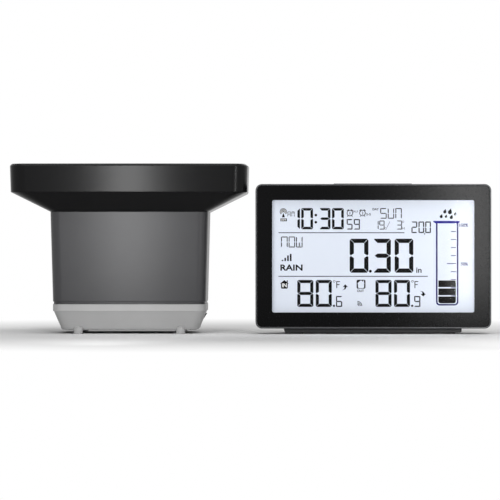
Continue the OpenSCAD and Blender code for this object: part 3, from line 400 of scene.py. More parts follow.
def buildFunnel():
    wall, well = funnel["wall"], funnel["wellRadius"]
    skirt = grown(bodyTop, -funnel["skirtGap"])
    skirtIn = grown(skirt, -funnel["skirtWall"])
    nozzle = funnel["nozzleRadius"]
    nozzleOut = nozzle + funnel["nozzleWall"]
    tiers = [
        (*skirtIn, z["nozzle"], nozzleOut),
        (*skirtIn, z["ledge"] - funnel["coneDrop"] - wall, nozzleOut),
        (*skirtIn, z["ledge"] - wall, well + wall),
        (*skirtIn, z["well"] - wall / 2, well + wall),
        (*skirtIn, z["flare"] - wall),
        (*skirtIn, z["flare"] - funnel["skirtDrop"]),
        (*skirt, z["flare"] - funnel["skirtDrop"]),
        (*skirt, z["flare"]),
        (*bodyTop, z["flare"]),
        (*rimLow, z["rim"]),
        (*rimTop, z["top"] - funnel["chamfer"]),
        (*grown(rimTop, -funnel["chamfer"]), z["top"]),
        (*grown(rimTop, -wall), z["top"]),
        (*grown(rimLow, -wall), z["rim"] + wall / 2),
        (*grown(bodyTop, -wall), z["flare"] + wall / 2),
        (*skirt, z["well"], well),
        (*skirt, z["ledge"], well),
        (*skirt, z["ledge"], well - funnel["ledge"]),
        (*skirt, z["ledge"] - funnel["coneDrop"], nozzle),
        (*skirt, z["nozzle"], nozzle)]
    piece = makePiece(ringShell(tiers, faceBow), "funnelShell", collectorPlace)
    dress(piece, "cover", "satinAbsBlack", ("funnel",), edgeWidths["funnel"])


housing = {"wall": 2, "shadowIn": 0.5, "shadowHigh": 1.7, "notchHalf": 36.55, "notchTop": 52.7,
           "notchFront": 20, "notchBack": 60, "tongueHalf": 6, "tongueThick": 2,
           "tongueDrop": 10.2, "wedgeHigh": 3.8, "wedgeOut": 0.9, "tongueRoot": 5}


def tubHalf(height):
    return tubLow[0] / 2 + (tubTop[0] - tubLow[0]) / 2 * (height - z["tub"] - 2) / (
        z["lip"] - z["tub"] - 2)


# An outline in X and Z, extruded along Y
def addPrism(bm, points, low, high):
    verts = [bm.verts.new((x, low, height)) for x, height in points]
    face = bm.faces.new(verts)
    made = bmesh.ops.extrude_face_region(bm, geom=[face])["geom"]
    bmesh.ops.translate(bm, vec=(0, high - low, 0),
                        verts=kindOf(made, bmesh.types.BMVert))


def tongueOutline(side):
    low = z["body"] - housing["tongueDrop"]
    wedge = low + housing["wedgeHigh"]
    inner = tubHalf(low) - housing["tongueThick"]
    lipHalf = bodyLow[0] / 2
    points = [(inner, low), (tubHalf(low), low), (tubHalf(wedge) + housing["wedgeOut"], wedge),
              (tubHalf(wedge), wedge), (tubHalf(z["lip"]), z["lip"]),
              (lipHalf - housing["shadowIn"], z["body"]),
              (lipHalf - housing["shadowIn"], z["body"] + housing["shadowHigh"]),
              (lipHalf - housing["wall"], z["body"] + housing["tongueRoot"]),
              (inner, z["body"] + housing["tongueRoot"])]
    return [(side * x, height) for x, height in points]


def buildHousing():
    shadow = drawnIn(bodyLow, housing["shadowIn"])
    step = z["body"] + housing["shadowHigh"]
    wall = housing["wall"]
    tiers = [(*shadow, z["body"]), (*shadow, step), (*bodyLow, step), (*bodyTop, z["flare"]),
             (*grown(bodyTop, -wall), z["flare"]), (*grown(bodyLow, -wall), z["body"])]
    piece = makePiece(ringShell(tiers, faceBow), "housingShell", collectorPlace)
    cut = bmesh.new()
    addBlock(cut, (-housing["notchHalf"], housing["notchFront"], z["body"] - 1),
             (housing["notchHalf"], housing["notchBack"], housing["notchTop"]))
    carve(piece, makePiece(cut, "cutter", collectorPlace))
    dress(piece, "cover", "sparkAbsGrey", ("collector_housing",))
    for side, word in ((-1, "Left"), (1, "Right")):
        bm = bmesh.new()
        addPrism(bm, tongueOutline(side), -housing["tongueHalf"], housing["tongueHalf"])
        tongue = makePiece(bm, "latchTongue" + word, collectorPlace)
        dress(tongue, "cover", "sparkAbsGrey", (), edgeWidths["tongue"])


tray = {"wall": 2.2, "round": 2, "roundSteps": 4, "spigotGap": 2.3, "spigotWall": 1.8,
        "spigotHigh": 3.6, "footX": 32.7, "footY": 31.3, "footRadius": 3, "footRise": 2.6,
        "footEdge": 0.5, "footEdgeShare": 0.3, "domeSteps": 6,
        "postX": 21, "postY": 10, "postRadius": 3, "postHigh": 3, "drainX": 36, "drainWide": 9,
        "drainLong": 22, "mountX": 39, "mountY": 24, "mountRadius": 2.1, "legX": 31.95,
        "legY": 20.2, "headRadius": 2.45, "headDeep": 1.2, "cutTop": 6, "draft": 2.1,
        "windowIn": 4.5, "windowWide": 8, "windowHalf": 6.3, "windowLow": 7.8, "windowRise": 5,
        "gateHalf": 36.55, "gateFront": 14.2, "gateBack": 60, "gateTop": 30}


def buildTray():
    wall, rounding = tray["wall"], tray["round"]
    spigot = grown(bodyLow, -tray["spigotGap"])
    hollow = grown(spigot, -tray["spigotWall"])
    curve = []
    for k in range(tray["roundSteps"] + 1):
        turn = math.radians(90 * k / tray["roundSteps"])
        curve.append((*drawnIn(tubLow, rounding * (1 - math.sin(turn))),
                      z["tub"] + rounding * (1 - math.cos(turn))))
    tiers = curve + [
        (*tubTop, z["lip"]), (*bodyLow, z["lip"]), (*bodyLow, z["body"]), (*spigot, z["body"]),
        (*spigot, z["body"] + tray["spigotHigh"]), (*hollow, z["body"] + tray["spigotHigh"]),
        (*hollow, (z["lip"] + z["body"]) / 2), (*grown(tubTop, -wall - tray["draft"]), z["lip"]),
        (*grown(tubLow, -wall), z["floor"])]
    piece = makePiece(ringShell(tiers, faceBow, closed=False), "trayShell", collectorPlace)
    cut = bmesh.new()
    for x in (-1, 1):
        half, long = tray["drainWide"] / 2, tray["drainLong"] / 2
        addBlock(cut, (x * tray["drainX"] - half, -long, 0),
                 (x * tray["drainX"] + half, long, tray["cutTop"]))
        addRod(cut, (x * tray["legX"], tray["legY"], 0), tray["headRadius"],
               z["tub"] + tray["headDeep"])
        for y in (-1, 1):
            addRod(cut, (x * tray["mountX"], y * tray["mountY"], 0), tray["mountRadius"],
                   tray["cutTop"])
        halfWide, across = tray["windowWide"] / 2, tray["windowHalf"]
        middle = x * (tubTop[0] / 2 - tray["windowIn"] + halfWide)
        addBlock(cut, (middle - halfWide, -across, tray["windowLow"]),
                 (middle + halfWide, across, z["body"] + tray["windowRise"]))
    addBlock(cut, (-tray["gateHalf"], tray["gateFront"], z["body"]),
             (tray["gateHalf"], tray["gateBack"], tray["gateTop"]))
    carve(piece, makePiece(cut, "cutter", collectorPlace))
    dress(piece, "base", "mouldedAbsLight", ("base_tray",), edgeWidths["tray"])
    posts = bmesh.new()
    for x in (-1, 1):
        for y in (-1, 1):
            addRod(posts, (x * tray["postX"], y * tray["postY"], z["floor"] - 1),
                   tray["postRadius"], tray["postHigh"] + 1)
    dress(makePiece(posts, "trayPosts", collectorPlace), "base", "mouldedAbsLight")
    feet = bmesh.new()
    for x in (-1, 1):
        for y in (-1, 1):
            addFoot(feet, x * tray["footX"], y * tray["footY"])
    dress(makePiece(feet, "trayFeet", collectorPlace), "base", "mouldedAbsLight",
          (), 0)


# Half profile of a stub with a domed head, spun about its own axis
def addFoot(bm, x, y):
    radius, rise = tray["footRadius"], tray["footRise"]
    edge, steps = tray["footEdge"], tray["domeSteps"]
    share = tray["footEdgeShare"] * edge
    points = [(0, 0), (radius - edge, 0), (radius - share, share), (radius, edge)]
    points += [(radius * math.cos(t), rise + radius * math.sin(t))
               for t in (math.radians(90 * k / steps) for k in range(steps + 1))]
    verts = [bm.verts.new((x + px, y, pz)) for px, pz in points]
    edges = [bm.edges.new(pair) for pair in zip(verts, verts[1:])]
    bmesh.ops.spin(bm, geom=verts + edges, cent=(x, y, 0), axis=(0, 0, 1), angle=math.tau,
                   steps=roundSteps, use_merge=True)
    bmesh.ops.remove_doubles(bm, verts=bm.verts, dist=weld)


buildFunnel()
buildHousing()
buildTray()
print("collector shells made")

# Console sizes in millimetres; heights count from the middle of the case
console = {"width": 150, "height": 92, "radius": 4.2, "edge": 1.05, "panel": 2.2, "ledge": 2,
           "wall": 2, "split": 12, "viewWide": 128.8, "viewHigh": 71.5, "viewRadius": 1.2,
           "lensOver": 2.4, "lensFit": 0.15, "slotHalf": 25.3, "slotDeep": 4, "slotFront": 6.7,
           "slotBack": 20, "panelFit": 0.05}


def buildFrontCase():
    whole = (console["width"], console["height"], console["radius"])
    inner = grown(whole, -console["edge"])
    hollow = grown(whole, -console["wall"])
    over = 2 * (console["lensOver"] + console["lensFit"])
    lens = (console["viewWide"] + over, console["viewHigh"] + over, leastRadius)
    back = console["panel"] + console["ledge"]
    tiers = [(*whole, console["split"]), (*whole, 0), (*inner, 0), (*inner, console["panel"]),
             (*lens, console["panel"]), (*lens, back), (*hollow, back), (*hollow, console["split"])]
    piece = makePiece(ringShell(tiers), "frontFrame", consolePlace)
    cut = bmesh.new()
    half, deep = console["height"] / 2, console["slotDeep"]
    addBlock(cut, (-console["slotHalf"], half - deep, console["slotFront"]),
             (console["slotHalf"], half + deep, console["slotBack"]))
    carve(piece, makePiece(cut, "cutter", consolePlace))
    dress(piece, "base", "paintedCharcoal", ("front_case",),
          edgeWidths["frame"])


def buildFrontPanel():
    outer = grown((console["width"], console["height"], console["radius"]),
                  -console["edge"] - console["panelFit"])
    view = (console["viewWide"], console["viewHigh"], console["viewRadius"])
    front = console["panelFit"]
    tiers = [(*outer, console["panel"]), (*outer, front), (*view, front),
             (*view, console["panel"])]
    piece = makePiece(ringShell(tiers), "glossPanel", consolePlace)
    dress(piece, "base", "pianoBlackAcrylic", ("front_panel",),
          edgeWidths["panel"])


buildFrontCase()
buildFrontPanel()
print("console front made")

# Nodes whose CAD shape is right: the same shape with its edges broken
nodeFinishes = {
    "leaf_screen": ("acetalBlack", 0.15), "drain_screens": ("stainlessWire", 0.1),
    "bucket_cradle": ("acetalGrey", 0.25), "cradle_screws": ("platedSteel", 0.1),
    "stop_screws": ("turnedBrass", 0.12), "tipping_bucket": ("acetalBlack", 0.15),
    "bucket_axle": ("platedSteel", 0.1), "bucket_magnet": ("platedSteel", 0.15),
    "reed_switch": ("reedGlass", 0), "sensor_box": ("mouldedAbsBox", 0.3),
    "box_screws": ("platedSteel", 0.1), "sensor_door": ("sparkAbsGrey", 0.3),
    "door_seal": ("siliconeBlack", 0.15),
    "sensor_springs": ("platedSteel", 0), "sensor_plates": ("platedSteel", 0.05),
    "sensor_board": ("solderResist", 0.1), "sensor_chip": ("pottingResin", 0.1),
    "sensor_radio": ("platedSteel", 0.15), "sensor_antenna": ("copperWire", 0),
    "reset_switch": ("siliconeBlack", 0.15), "reset_plunger": ("glossRed", 0.25),
    "status_lamp": ("lampEpoxy", 0), "screen_lens": ("clearAcrylic", 0),
    "lcd_glass": ("screenPolariser", 0), "backlight_plate": ("frostedGuide", 0.15),
    "backlight_lamps": ("phosphorPale", 0.1), "contact_strip": ("siliconePink", 0.15),
    "display_board": ("solderResist", 0.1), "display_chip": ("pottingResin", 0),
    "display_radio": ("platedSteel", 0.15), "display_antenna": ("copperWire", 0),
    "buzzer": ("turnedBrass", 0.15), "room_sensor": ("resinBlue", 0),
    "rear_case": ("sparkAbsBlack", 0.35), "case_screws": ("platedSteel", 0.1),
    "foot_pads": ("siliconeBlack", 0.2), "cell_door": ("sparkAbsBlack", 0.3),
    "display_springs": ("platedSteel", 0),
    "display_plates": ("platedSteel", 0.05), "snooze_bar": ("satinBar", 0.4),
    "snooze_switch": ("siliconeBlack", 0.15), "key_switches": ("siliconeBlack", 0.1),
}
for word in ("set", "alarm", "history", "units", "up", "down"):
    nodeFinishes[word + "_key"] = ("siliconeGrey", 0.4)


def dressNode(node, finish, edgeMm):
    source = frame["nodes"][node]
    if not edgeMm:
        source.data.materials.clear()
        source.data.materials.append(finishes[finish])
        return
    bm = bmesh.new()
    bm.from_mesh(source.data)
    bmesh.ops.remove_doubles(bm, verts=bm.verts, dist=2 * weld * mm)
    bmesh.ops.dissolve_limit(bm, angle_limit=math.radians(1), verts=bm.verts, edges=bm.edges)
    bmesh.ops.scale(bm, vec=(1 / mm, 1 / mm, 1 / mm), verts=bm.verts)
    words = node.split("_")
    name = words[0] + "".join(word.capitalize() for word in words[1:])
    piece = makePiece(bm, name, Matrix.Identity(4), recalc=False)
    dress(piece, source["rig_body"], finish, (node,), edgeMm, 2)


for node, (finish, edgeMm) in nodeFinishes.items():
    dressNode(node, finish, edgeMm)

# Round cells: a wrap is tucked in over both ends of a steel can with a raised tip
cellLook = {"tip": 1.2, "tipRadius": 2.6, "tipStep": 0.1, "tipRound": 0.3, "tuck": 1.8,
            "steps": 40}
# Corner of the wrap at an end: distance from the end, and from the outside inwards
wrapCorner = ((0.5, cellLook["tuck"]), (0.1, 1.5), (0, 1), (0.25, 0.25), (0.9, 0))
# Ends of the can: distance from the end, and radius beyond the wrap's inner edge or the tip
flatEnd = ((0.3, -0.8), (0.55, 0.05))
tipEnd = ((0.3, -0.7), (0.3, 1.2), (0.12, 0.3))


def spinAboutX(bm, start, way, profile):
    verts = [bm.verts.new(start + Vector((way * x, radius, 0))) for x, radius in profile]
    edges = [bm.edges.new(pair) for pair in zip(verts, verts[1:])]
    bmesh.ops.spin(bm, geom=verts + edges, cent=start, axis=(1, 0, 0), angle=math.tau,
                   steps=cellLook["steps"], use_merge=True)
    bmesh.ops.remove_doubles(bm, verts=bm.verts, dist=weld)


# Starts are the middles of the flat ends, and way is 1 where the tip points to the right
def buildCells(node, name, starts, radius, length):
    body, inner, tip = length - cellLook["tip"], radius - cellLook["tuck"], cellLook["tipRadius"]
    wrap = [(x, radius - depth) for x, depth in wrapCorner]
    wrap += [(body - x, radius - depth) for x, depth in reversed(wrapCorner)]
    can = [(flatEnd[0][0], 0)] + [(x, inner + out) for x, out in flatEnd]
    can += [(body - x, inner + out) for x, out in (flatEnd[1], tipEnd[0])]
    can += [(body - x, tip + out) for x, out in tipEnd[1:]]
    can += [(body + cellLook["tipStep"], tip), (length - cellLook["tipRound"], tip),
            (length, tip - cellLook["tipRound"]), (length, 0)]
    fkBody = frame["nodes"][node]["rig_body"]
    for word, profile, finish, replaced in (("Wraps", wrap + wrap[:1], "cellWrap", (node,)),
                                            ("Cans", can, "platedSteel", ())):
        bm = bmesh.new()
        for start, way in starts:
            spinAboutX(bm, start, way, profile)
        dress(makePiece(bm, name + word, Matrix.Identity(4)), fkBody, finish,
              replaced, 0)


low, high = (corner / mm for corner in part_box("sensor_cells"))
radius, middle = (high.y - low.y) / 2, (high.y + low.y) / 2
buildCells("sensor_cells", "sensorCell", ((Vector((low.x, middle, low.z + radius)), 1),
                                          (Vector((high.x, middle, high.z - radius)), -1)),
           radius, high.x - low.x)
low, high = (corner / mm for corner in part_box("display_cells"))
radius, length = (high.y - low.y) / 2, (high.x - low.x) / 2
flat = Vector((low.x, low.y + radius, low.z + radius))
buildCells("display_cells", "displayCell", ((flat, 1), (flat + Vector((length, 0, 0)), 1)),
           radius, length)
print("inner pieces dressed")

# Picture on the screen, in millimetres from the lower left corner of the screen's opening.
# Numbers and words are the plain ones that such a screen shows.
picture = {"inkDepth": 3.41, "haloDepth": 3.43, "overDepth": 3.402, "thick": 0.015, "halo": 0.3}
# Characters of segments: ink, low and high edge, stroke, gap, and each with its left and
# right edge
segmentRows = {
    "hours": ("black", 52.94, 66.48, 1.62, 0.17,
              (("1", 12.73, 17.73), ("0", 18.56, 26.06), ("3", 29.98, 37.15), ("0", 38.15, 45.65))),
    "seconds": ("black", 52.77, 59.48, 0.71, 0.06, (("5", 47.52, 51.23), ("9", 52.06, 55.94))),
    "halfDay": ("grey", 60.94, 64.27, 0.42, 0.04, (("A", 9.81, 11.81), ("M", 12.31, 14.31))),
    "weekday": ("black", 59.69, 66.48, 0.62, 0.12,
                (("S", 68.85, 72.98), ("U", 73.69, 77.77), ("N", 78.52, 82.65))),
    "date": ("black", 52.77, 58.52, 0.58, 0.08,
             (("1", 65.35, 67.85), ("9", 68.27, 71.65), ("3", 79.4, 82.77))),
    "tankVolume": ("black", 50.56, 57.94, 0.75, 0.1,
                   (("2", 88.77, 92.48), ("0", 93.27, 96.9), ("0", 97.56, 101.19))),
    "period": ("black", 41.35, 48.35, 0.62, 0.12,
               (("N", 5.65, 9.9), ("O", 10.52, 14.6), ("W", 15.23, 19.4))),
    "rainfall": ("black", 25.27, 46.94, 2.71, 0.21,
                 (("0", 49.4, 61.35), ("3", 64.31, 75.65), ("0", 78.06, 89.98))),
    "indoor": ("black", 3.48, 20.65, 2, 0.17, (("8", 16.02, 26.27), ("0", 27.81, 38.02))),
    "indoorTenths": ("black", 3.48, 10.44, 0.75, 0.06, (("6", 40.69, 44.65),)),
    "outdoor": ("black", 3.48, 20.65, 2, 0.17, (("8", 65.85, 76.1), ("0", 77.65, 87.85))),
    "outdoorTenths": ("black", 3.48, 10.44, 0.75, 0.06, (("9", 90.52, 94.48),)),
}
# Printed words: ink, text, left, right, low and high edge, and how much bolder than plain
printedWords = {
    "summerTime": ("over", "DST", 5.65, 8.98, 58.4, 59.52, 0.02),
    "firstAlarm": ("black", "1", 49.35, 49.77, 62.4, 64.23, 0.02),
    "secondAlarm": ("black", "2", 57.06, 58.15, 62.4, 64.23, 0.02),
    "weekdays": ("black", "M-F", 51.81, 54.73, 63.44, 64.9, 0),
    "weekend": ("black", "S-S", 59.94, 62.9, 61.73, 63.31, 0.02),
    "day": ("black", "DAY", 63.98, 67.98, 65.02, 66.48, 0.03),
    "dayMark": ("black", "D", 71.85, 73.1, 52.81, 54.1, 0),
    "dayAboveMonth": ("black", "D", 82.9, 84.1, 57.1, 58.35, 0),
    "monthMark": ("black", "M", 83.02, 84.52, 52.81, 54.1, 0),
    "rain": ("black", "RAIN", 5.23, 19.4, 26.6, 30.52, 0.03),
    "inches": ("black", "in", 91.81, 95.23, 25.27, 28.52, 0.02),
    "inside": ("over", "IN", 6.31, 9.31, 16.02, 18.52, 0.02),
    "outside": ("black", "OUT", 54.23, 58.52, 12.94, 14.52, 0.03),
    "full": ("navy", "100%", 119.23, 124.9, 54.52, 56.65, 0.03),
    "half": ("navy", "50%", 120.23, 124.73, 29.73, 31.85, 0.03),
}
# Round dots: middle and radius
roundDots = {
    "colonHigh": (27.85, 61.98, 0.83), "colonLow": (27.85, 57.44, 0.83),
    "tankPoint": (97.15, 50.02, 0.42), "rainPoint": (62.6, 26.23, 0.92),
    "indoorPoint": (39.4, 4.19, 0.71), "outdoorPoint": (89.23, 4.19, 0.71),
}
# Plain bars: ink, left, right, low and high edge
plainBars = {
    "upperRule": ("slate", 4.06, 84.27, 50.5, 51.04),
    "lowerRule": ("slate", 4.06, 99.15, 22.71, 23.25),
    "summerTimeBadge": ("black", 5.23, 9.4, 58.06, 59.85),
    "highLevel": ("black", 105.94, 117.1, 16.1, 20.35),
    "midLevel": ("black", 105.94, 117.1, 10.94, 15.27),
    "leftWall": ("navy", 104.4, 105.4, 6.85, 56.77),
    "rightWall": ("navy", 117.69, 118.69, 6.85, 56.77),
    "bottomWall": ("navy", 106.9, 116.19, 4.35, 5.35),
}
aerialIcon = {"x": 7.15, "y": 64.1, "radius": 2.29, "rings": (0.62, 1.17, 1.71),
              "line": 0.17, "foot": 60.6, "top": 63.52, "half": 0.96, "open": 90}
alarmIcon = {"places": (49.56, 57.6), "y": 63.31, "hollow": 1.54, "radius": 2.04,
             "line": 0.46, "bell": ((1.92, 1.42), (0.83, 2.25)),
             "foot": ((1.17, -1.67), (1.62, -2.25))}
signalBars = {"left": 6.06, "pitch": 1.75, "width": 1.08, "low": 32.69,
              "heights": (0.83, 2.08, 3.58, 4.58)}
dateStroke = {"low": (73.23, 54.19), "high": (75.06, 57.94), "line": 0.23}
degreeSign = {"places": (39.6, 89.44), "y": 19.77, "hollow": 0.5, "radius": 0.75,
              "stem": 1.29, "high": 19.94, "low": 15.44, "arm": 2.33, "midArm": 2,
              "middle": 17.69, "line": 0.54, "steps": 16}
waveIcon = {"x": 54.31, "y": 4.1, "radii": (0.75, 1.67, 2.58), "line": 0.5,
            "turn": 90, "steps": 12}
# A house and its chimney, as shares of its width from the middle and of its height
houseShares = ((0, 1), (0.5, 0.58), (0.39, 0.58), (0.39, 0.1), (0.3, 0), (-0.3, 0), (-0.39, 0.1),
               (-0.39, 0.58), (-0.5, 0.58))
chimneyShares = ((0.25, 0.95), (0.38, 0.98), (0.38, 0.68), (0.25, 0.8))
houses = {"inside": ("black", 7.81, 15.1, 5.58, 5.5),
          "outside": ("tile", 56.65, 15.48, 5, 5.04)}
outsideTile = {"x": 56.65, "y": 17.94, "width": 5.67, "corner": 0.92}
# Curved arrows, as shares of their height from the tip
risingShares = ((0, 0), (0.49, -0.47), (0.21, -0.42), (0.07, -0.8), (-0.52, -1), (-0.16, -0.73),
                (-0.1, -0.42), (-0.44, -0.49))
fallingShares = ((0, 0), (-0.46, 0.43), (-0.16, 0.43), (-0.19, 0.73), (-0.56, 1), (0.02, 0.82),
                 (0.29, 0.43), (0.47, 0.49))
arrows = {"rising": (risingShares, 46.56, 17.85, 3.75),
          "falling": (fallingShares, 96.31, 10.1, 3.75)}
# Lid of the measuring glass, as shares of its width and height from the lower left corner
lidShares = ((0, 1), (1, 1), (1, 0.39), (0.955, 0), (0.1, 0), (0.03, 0.39))
glass = {"lid": (102.48, 56.77, 17, 1.5), "wall": 1, "bend": 2.5, "bends": (106.9, 116.19),
         "bendY": 6.85, "bendSteps": 10, "line": 0.52, "markRight": 117.15, "mark": 3.17,
         "longMark": 5.67, "marks": (51.52, 46.4, 41.27, 36.15, 25.9), "longMarkY": 31.08,
         "filledMarks": (20.9, 15.69, 10.56)}
lowLevel = {"left": 105.94, "right": 117.1, "low": 5.77, "high": 10.15, "corner": 1.33}
# Drops: point at the top, lowest point and width
drops = ((108.31, 62.69, 60.02, 1.92), (110.65, 66.02, 63.02, 2),
         (111.23, 62.35, 60.27, 1.5), (114.06, 66.35, 62.52, 2.58),
         (117.06, 63.94, 61.77, 1.54), (114.81, 62.35, 59.44, 2.08))
dropLook = {"leanShare": 0.3, "start": 150, "turn": 240, "steps": 12}

segmentsOf = {"0": "abcdef", "1": "bc", "2": "abged", "3": "abgcd", "5": "afgcd",
              "6": "afgedc", "8": "abcdefg", "9": "abcdfg", "A": "abcefg", "M": "abcefi",
              "N": "abcef", "O": "abcdef", "S": "afgcd", "U": "bcdef", "W": "bcdefj"}
inkFinishes = {"black": "segmentBlack", "grey": "segmentGrey", "over": "haloWhite",
               "slate": "ruleSlate", "navy": "inkNavy", "lid": "inkBlue",
               "violet": "inkViolet", "tile": "screenPolariser"}
inks = {ink: bmesh.new() for ink in inkFinishes}


# One segment of a character, from its lower left corner, with mitred ends. Those on the left
# and at the top are drawn, and the others are their mirror images.
mitre = {"tip": 0.35, "point": 0.3}  # shares of the stroke


def segmentPoints(letter, w, h, s):
    tip, point, middle = s * mitre["tip"], s * mitre["point"], h / 2
    shapes = {
        "a": ((tip / 2, h - tip / 2), (tip, h), (w - tip, h), (w - tip / 2, h - tip / 2),
              (w - s, h - s), (s, h - s)),
        "f": ((tip / 2, h - tip / 2), (s, h - s), (s, middle + s / 2), (point, middle),
              (0, middle + point), (0, h - tip)),
        "g": ((point, middle), (s, middle + s / 2), (w - s, middle + s / 2), (w - point, middle),
              (w - s, middle - s / 2), (s, middle - s / 2)),
        "i": ((w / 2 - s / 2, h - s), (w / 2 + s / 2, h - s), (w / 2 + s / 2, middle + s / 2),
              (w / 2 - s / 2, middle + s / 2))}
    points = shapes[{"d": "a", "e": "f", "j": "i", "b": "f", "c": "f"}.get(letter, letter)]
    if letter in "bc":
        points = [(w - x, y) for x, y in points]
    if letter in "dejc":
        points = [(x, h - y) for x, y in points]
    return points


def addPolygon(ink, points):
    bm = inks[ink]
    face = bm.faces.new([bm.verts.new((x, y, 0)) for x, y in points])
    face.normal_update()
    return face


# The segments touch before the inset, which opens the thin gaps between them
def addCharacter(ink, char, left, right, low, high, stroke, gap):
    left, right, low, high = left - gap / 2, right + gap / 2, low - gap / 2, high + gap / 2
    faces = [addPolygon(ink, [(left + x, low + y) for x, y in
                              segmentPoints(letter, right - left, high - low, stroke + gap)])
             for letter in segmentsOf[char]]
    rims = bmesh.ops.inset_individual(inks[ink], faces=faces, thickness=gap / 2,
                                      use_even_offset=True)["faces"]
    bmesh.ops.delete(inks[ink], geom=rims, context="FACES")


arcSteps = 24


# Part of a ring between two radii, or of a disc where the inner radius is 0
def addArc(ink, x, y, inner, outer, start=0, turn=360, steps=arcSteps):
    turns = [math.radians(start + turn * k / steps) for k in range(steps + 1)]
    for pair in zip(turns, turns[1:]):
        corners = [(x + outer * math.cos(t), y + outer * math.sin(t)) for t in pair]
        corners += [(x + inner * math.cos(t), y + inner * math.sin(t)) for t in reversed(pair)]
        addPolygon(ink, corners if inner else corners[:3])


def addBar(ink, left, right, low, high):
    addPolygon(ink, [(left, low), (right, low), (right, high), (left, high)])


def addStroke(ink, start, end, width):
    start, end = Vector(start), Vector(end)
    along = (end - start).normalized() * width / 2
    across = Vector((-along.y, along.x))
    addPolygon(ink, [tuple(p) for p in (start - across, end - across, end + across,
                                        start + across)])


letterSteps = 6


# Letters of Blender's own font, fitted to their box
def addWords(ink, text, left, right, low, high, weight):
    curve = bpy.data.curves.new("words", "FONT")
    curve.body, curve.offset, curve.resolution_u = text, weight, letterSteps
    carrier = bpy.data.objects.new("words", curve)
    mesh = bpy.data.meshes.new_from_object(carrier)
    xs = [v.co.x for v in mesh.vertices]
    ys = [v.co.y for v in mesh.vertices]
    wide, tall = max(xs) - min(xs), max(ys) - min(ys)
    mesh.transform(Matrix.Translation((left, low, 0))
                   @ Matrix.Diagonal(((right - left) / wide, (high - low) / tall, 1, 1))
                   @ Matrix.Translation((-min(xs), -min(ys), 0)))
    inks[ink].from_mesh(mesh)
    bpy.data.objects.remove(carrier)
    bpy.data.meshes.remove(mesh)


boxSteps = 4


# A rounded box: its corners from low left, with a radius for the lower and the upper ones
def addRounded(ink, left, right, low, high, lowRadius, highRadius):
    points = []
    for x, y, radius, start in ((left, low, lowRadius, 180), (right, low, lowRadius, 270),
                                (right, high, highRadius, 0), (left, high, highRadius, 90)):
        middle = (x + radius * (1 if x == left else -1), y + radius * (1 if y == low else -1))
        for k in range(boxSteps + 1 if radius else 1):
            turn = math.radians(start + 90 * k / boxSteps)
            points.append((middle[0] + radius * math.cos(turn),
                           middle[1] + radius * math.sin(turn)))
    addPolygon(ink, points)


def addShares(ink, shares, x, y, wide, high):
    addPolygon(ink, [(x + wide * px, y + high * py) for px, py in shares])


def drawText():
    for ink, low, high, stroke, gap, chars in segmentRows.values():
        for char, left, right in chars:
            addCharacter(ink, char, left, right, low, high, stroke, gap)
    for word in printedWords.values():
        addWords(*word)
    for x, y, radius in roundDots.values():
        addArc("black", x, y, 0, radius)
    for ink, left, right, low, high in plainBars.values():
        addBar(ink, left, right, low, high)


def drawIcons():
    icon = aerialIcon
    addArc("grey", icon["x"], icon["y"], 0, icon["radius"], -icon["open"] / 2, 360 - icon["open"])
    for radius in icon["rings"]:
        addArc("over", icon["x"], icon["y"], radius, radius + icon["line"], -icon["open"] / 2,
               360 - icon["open"])
    addPolygon("black", [(icon["x"] - icon["half"], icon["foot"]),
                         (icon["x"] + icon["half"], icon["foot"]), (icon["x"], icon["top"])])
    icon = alarmIcon
    for x in icon["places"]:
        addArc("black", x, icon["y"], icon["hollow"], icon["radius"])
        for side in (-1, 1):
            for ends in (icon["bell"], icon["foot"]):
                addStroke("black", *[(x + side * px, icon["y"] + py) for px, py in ends],
                          icon["line"])
    addStroke("black", dateStroke["low"], dateStroke["high"], dateStroke["line"])
    for k, height in enumerate(signalBars["heights"]):
        left = signalBars["left"] + k * signalBars["pitch"]
        addBar("black", left, left + signalBars["width"], signalBars["low"],
               signalBars["low"] + height)
    icon = degreeSign
    for x in icon["places"]:
        stem, line = x + icon["stem"], icon["line"]
        addArc("black", x, icon["y"], icon["hollow"], icon["radius"],
               steps=icon["steps"])
        addBar("black", stem, stem + line, icon["low"], icon["high"])
        addBar("black", stem + line, stem + icon["arm"], icon["high"] - line, icon["high"])
        addBar("black", stem + line, stem + icon["midArm"], icon["middle"] - line / 2,
               icon["middle"] + line / 2)
    for radius in waveIcon["radii"]:
        addArc("black", waveIcon["x"], waveIcon["y"], radius, radius + waveIcon["line"], 0,
               waveIcon["turn"], waveIcon["steps"])
    for ink, x, low, wide, high in houses.values():
        addShares(ink, houseShares, x, low, wide, high)
        addShares(ink, chimneyShares, x, low, wide, high)
    half = outsideTile["width"] / 2
    addRounded("black", outsideTile["x"] - half, outsideTile["x"] + half, outsideTile["y"] - half,
               outsideTile["y"] + half, outsideTile["corner"], outsideTile["corner"])
    for shares, x, y, size in arrows.values():
        addShares("black", shares, x, y, size, size)


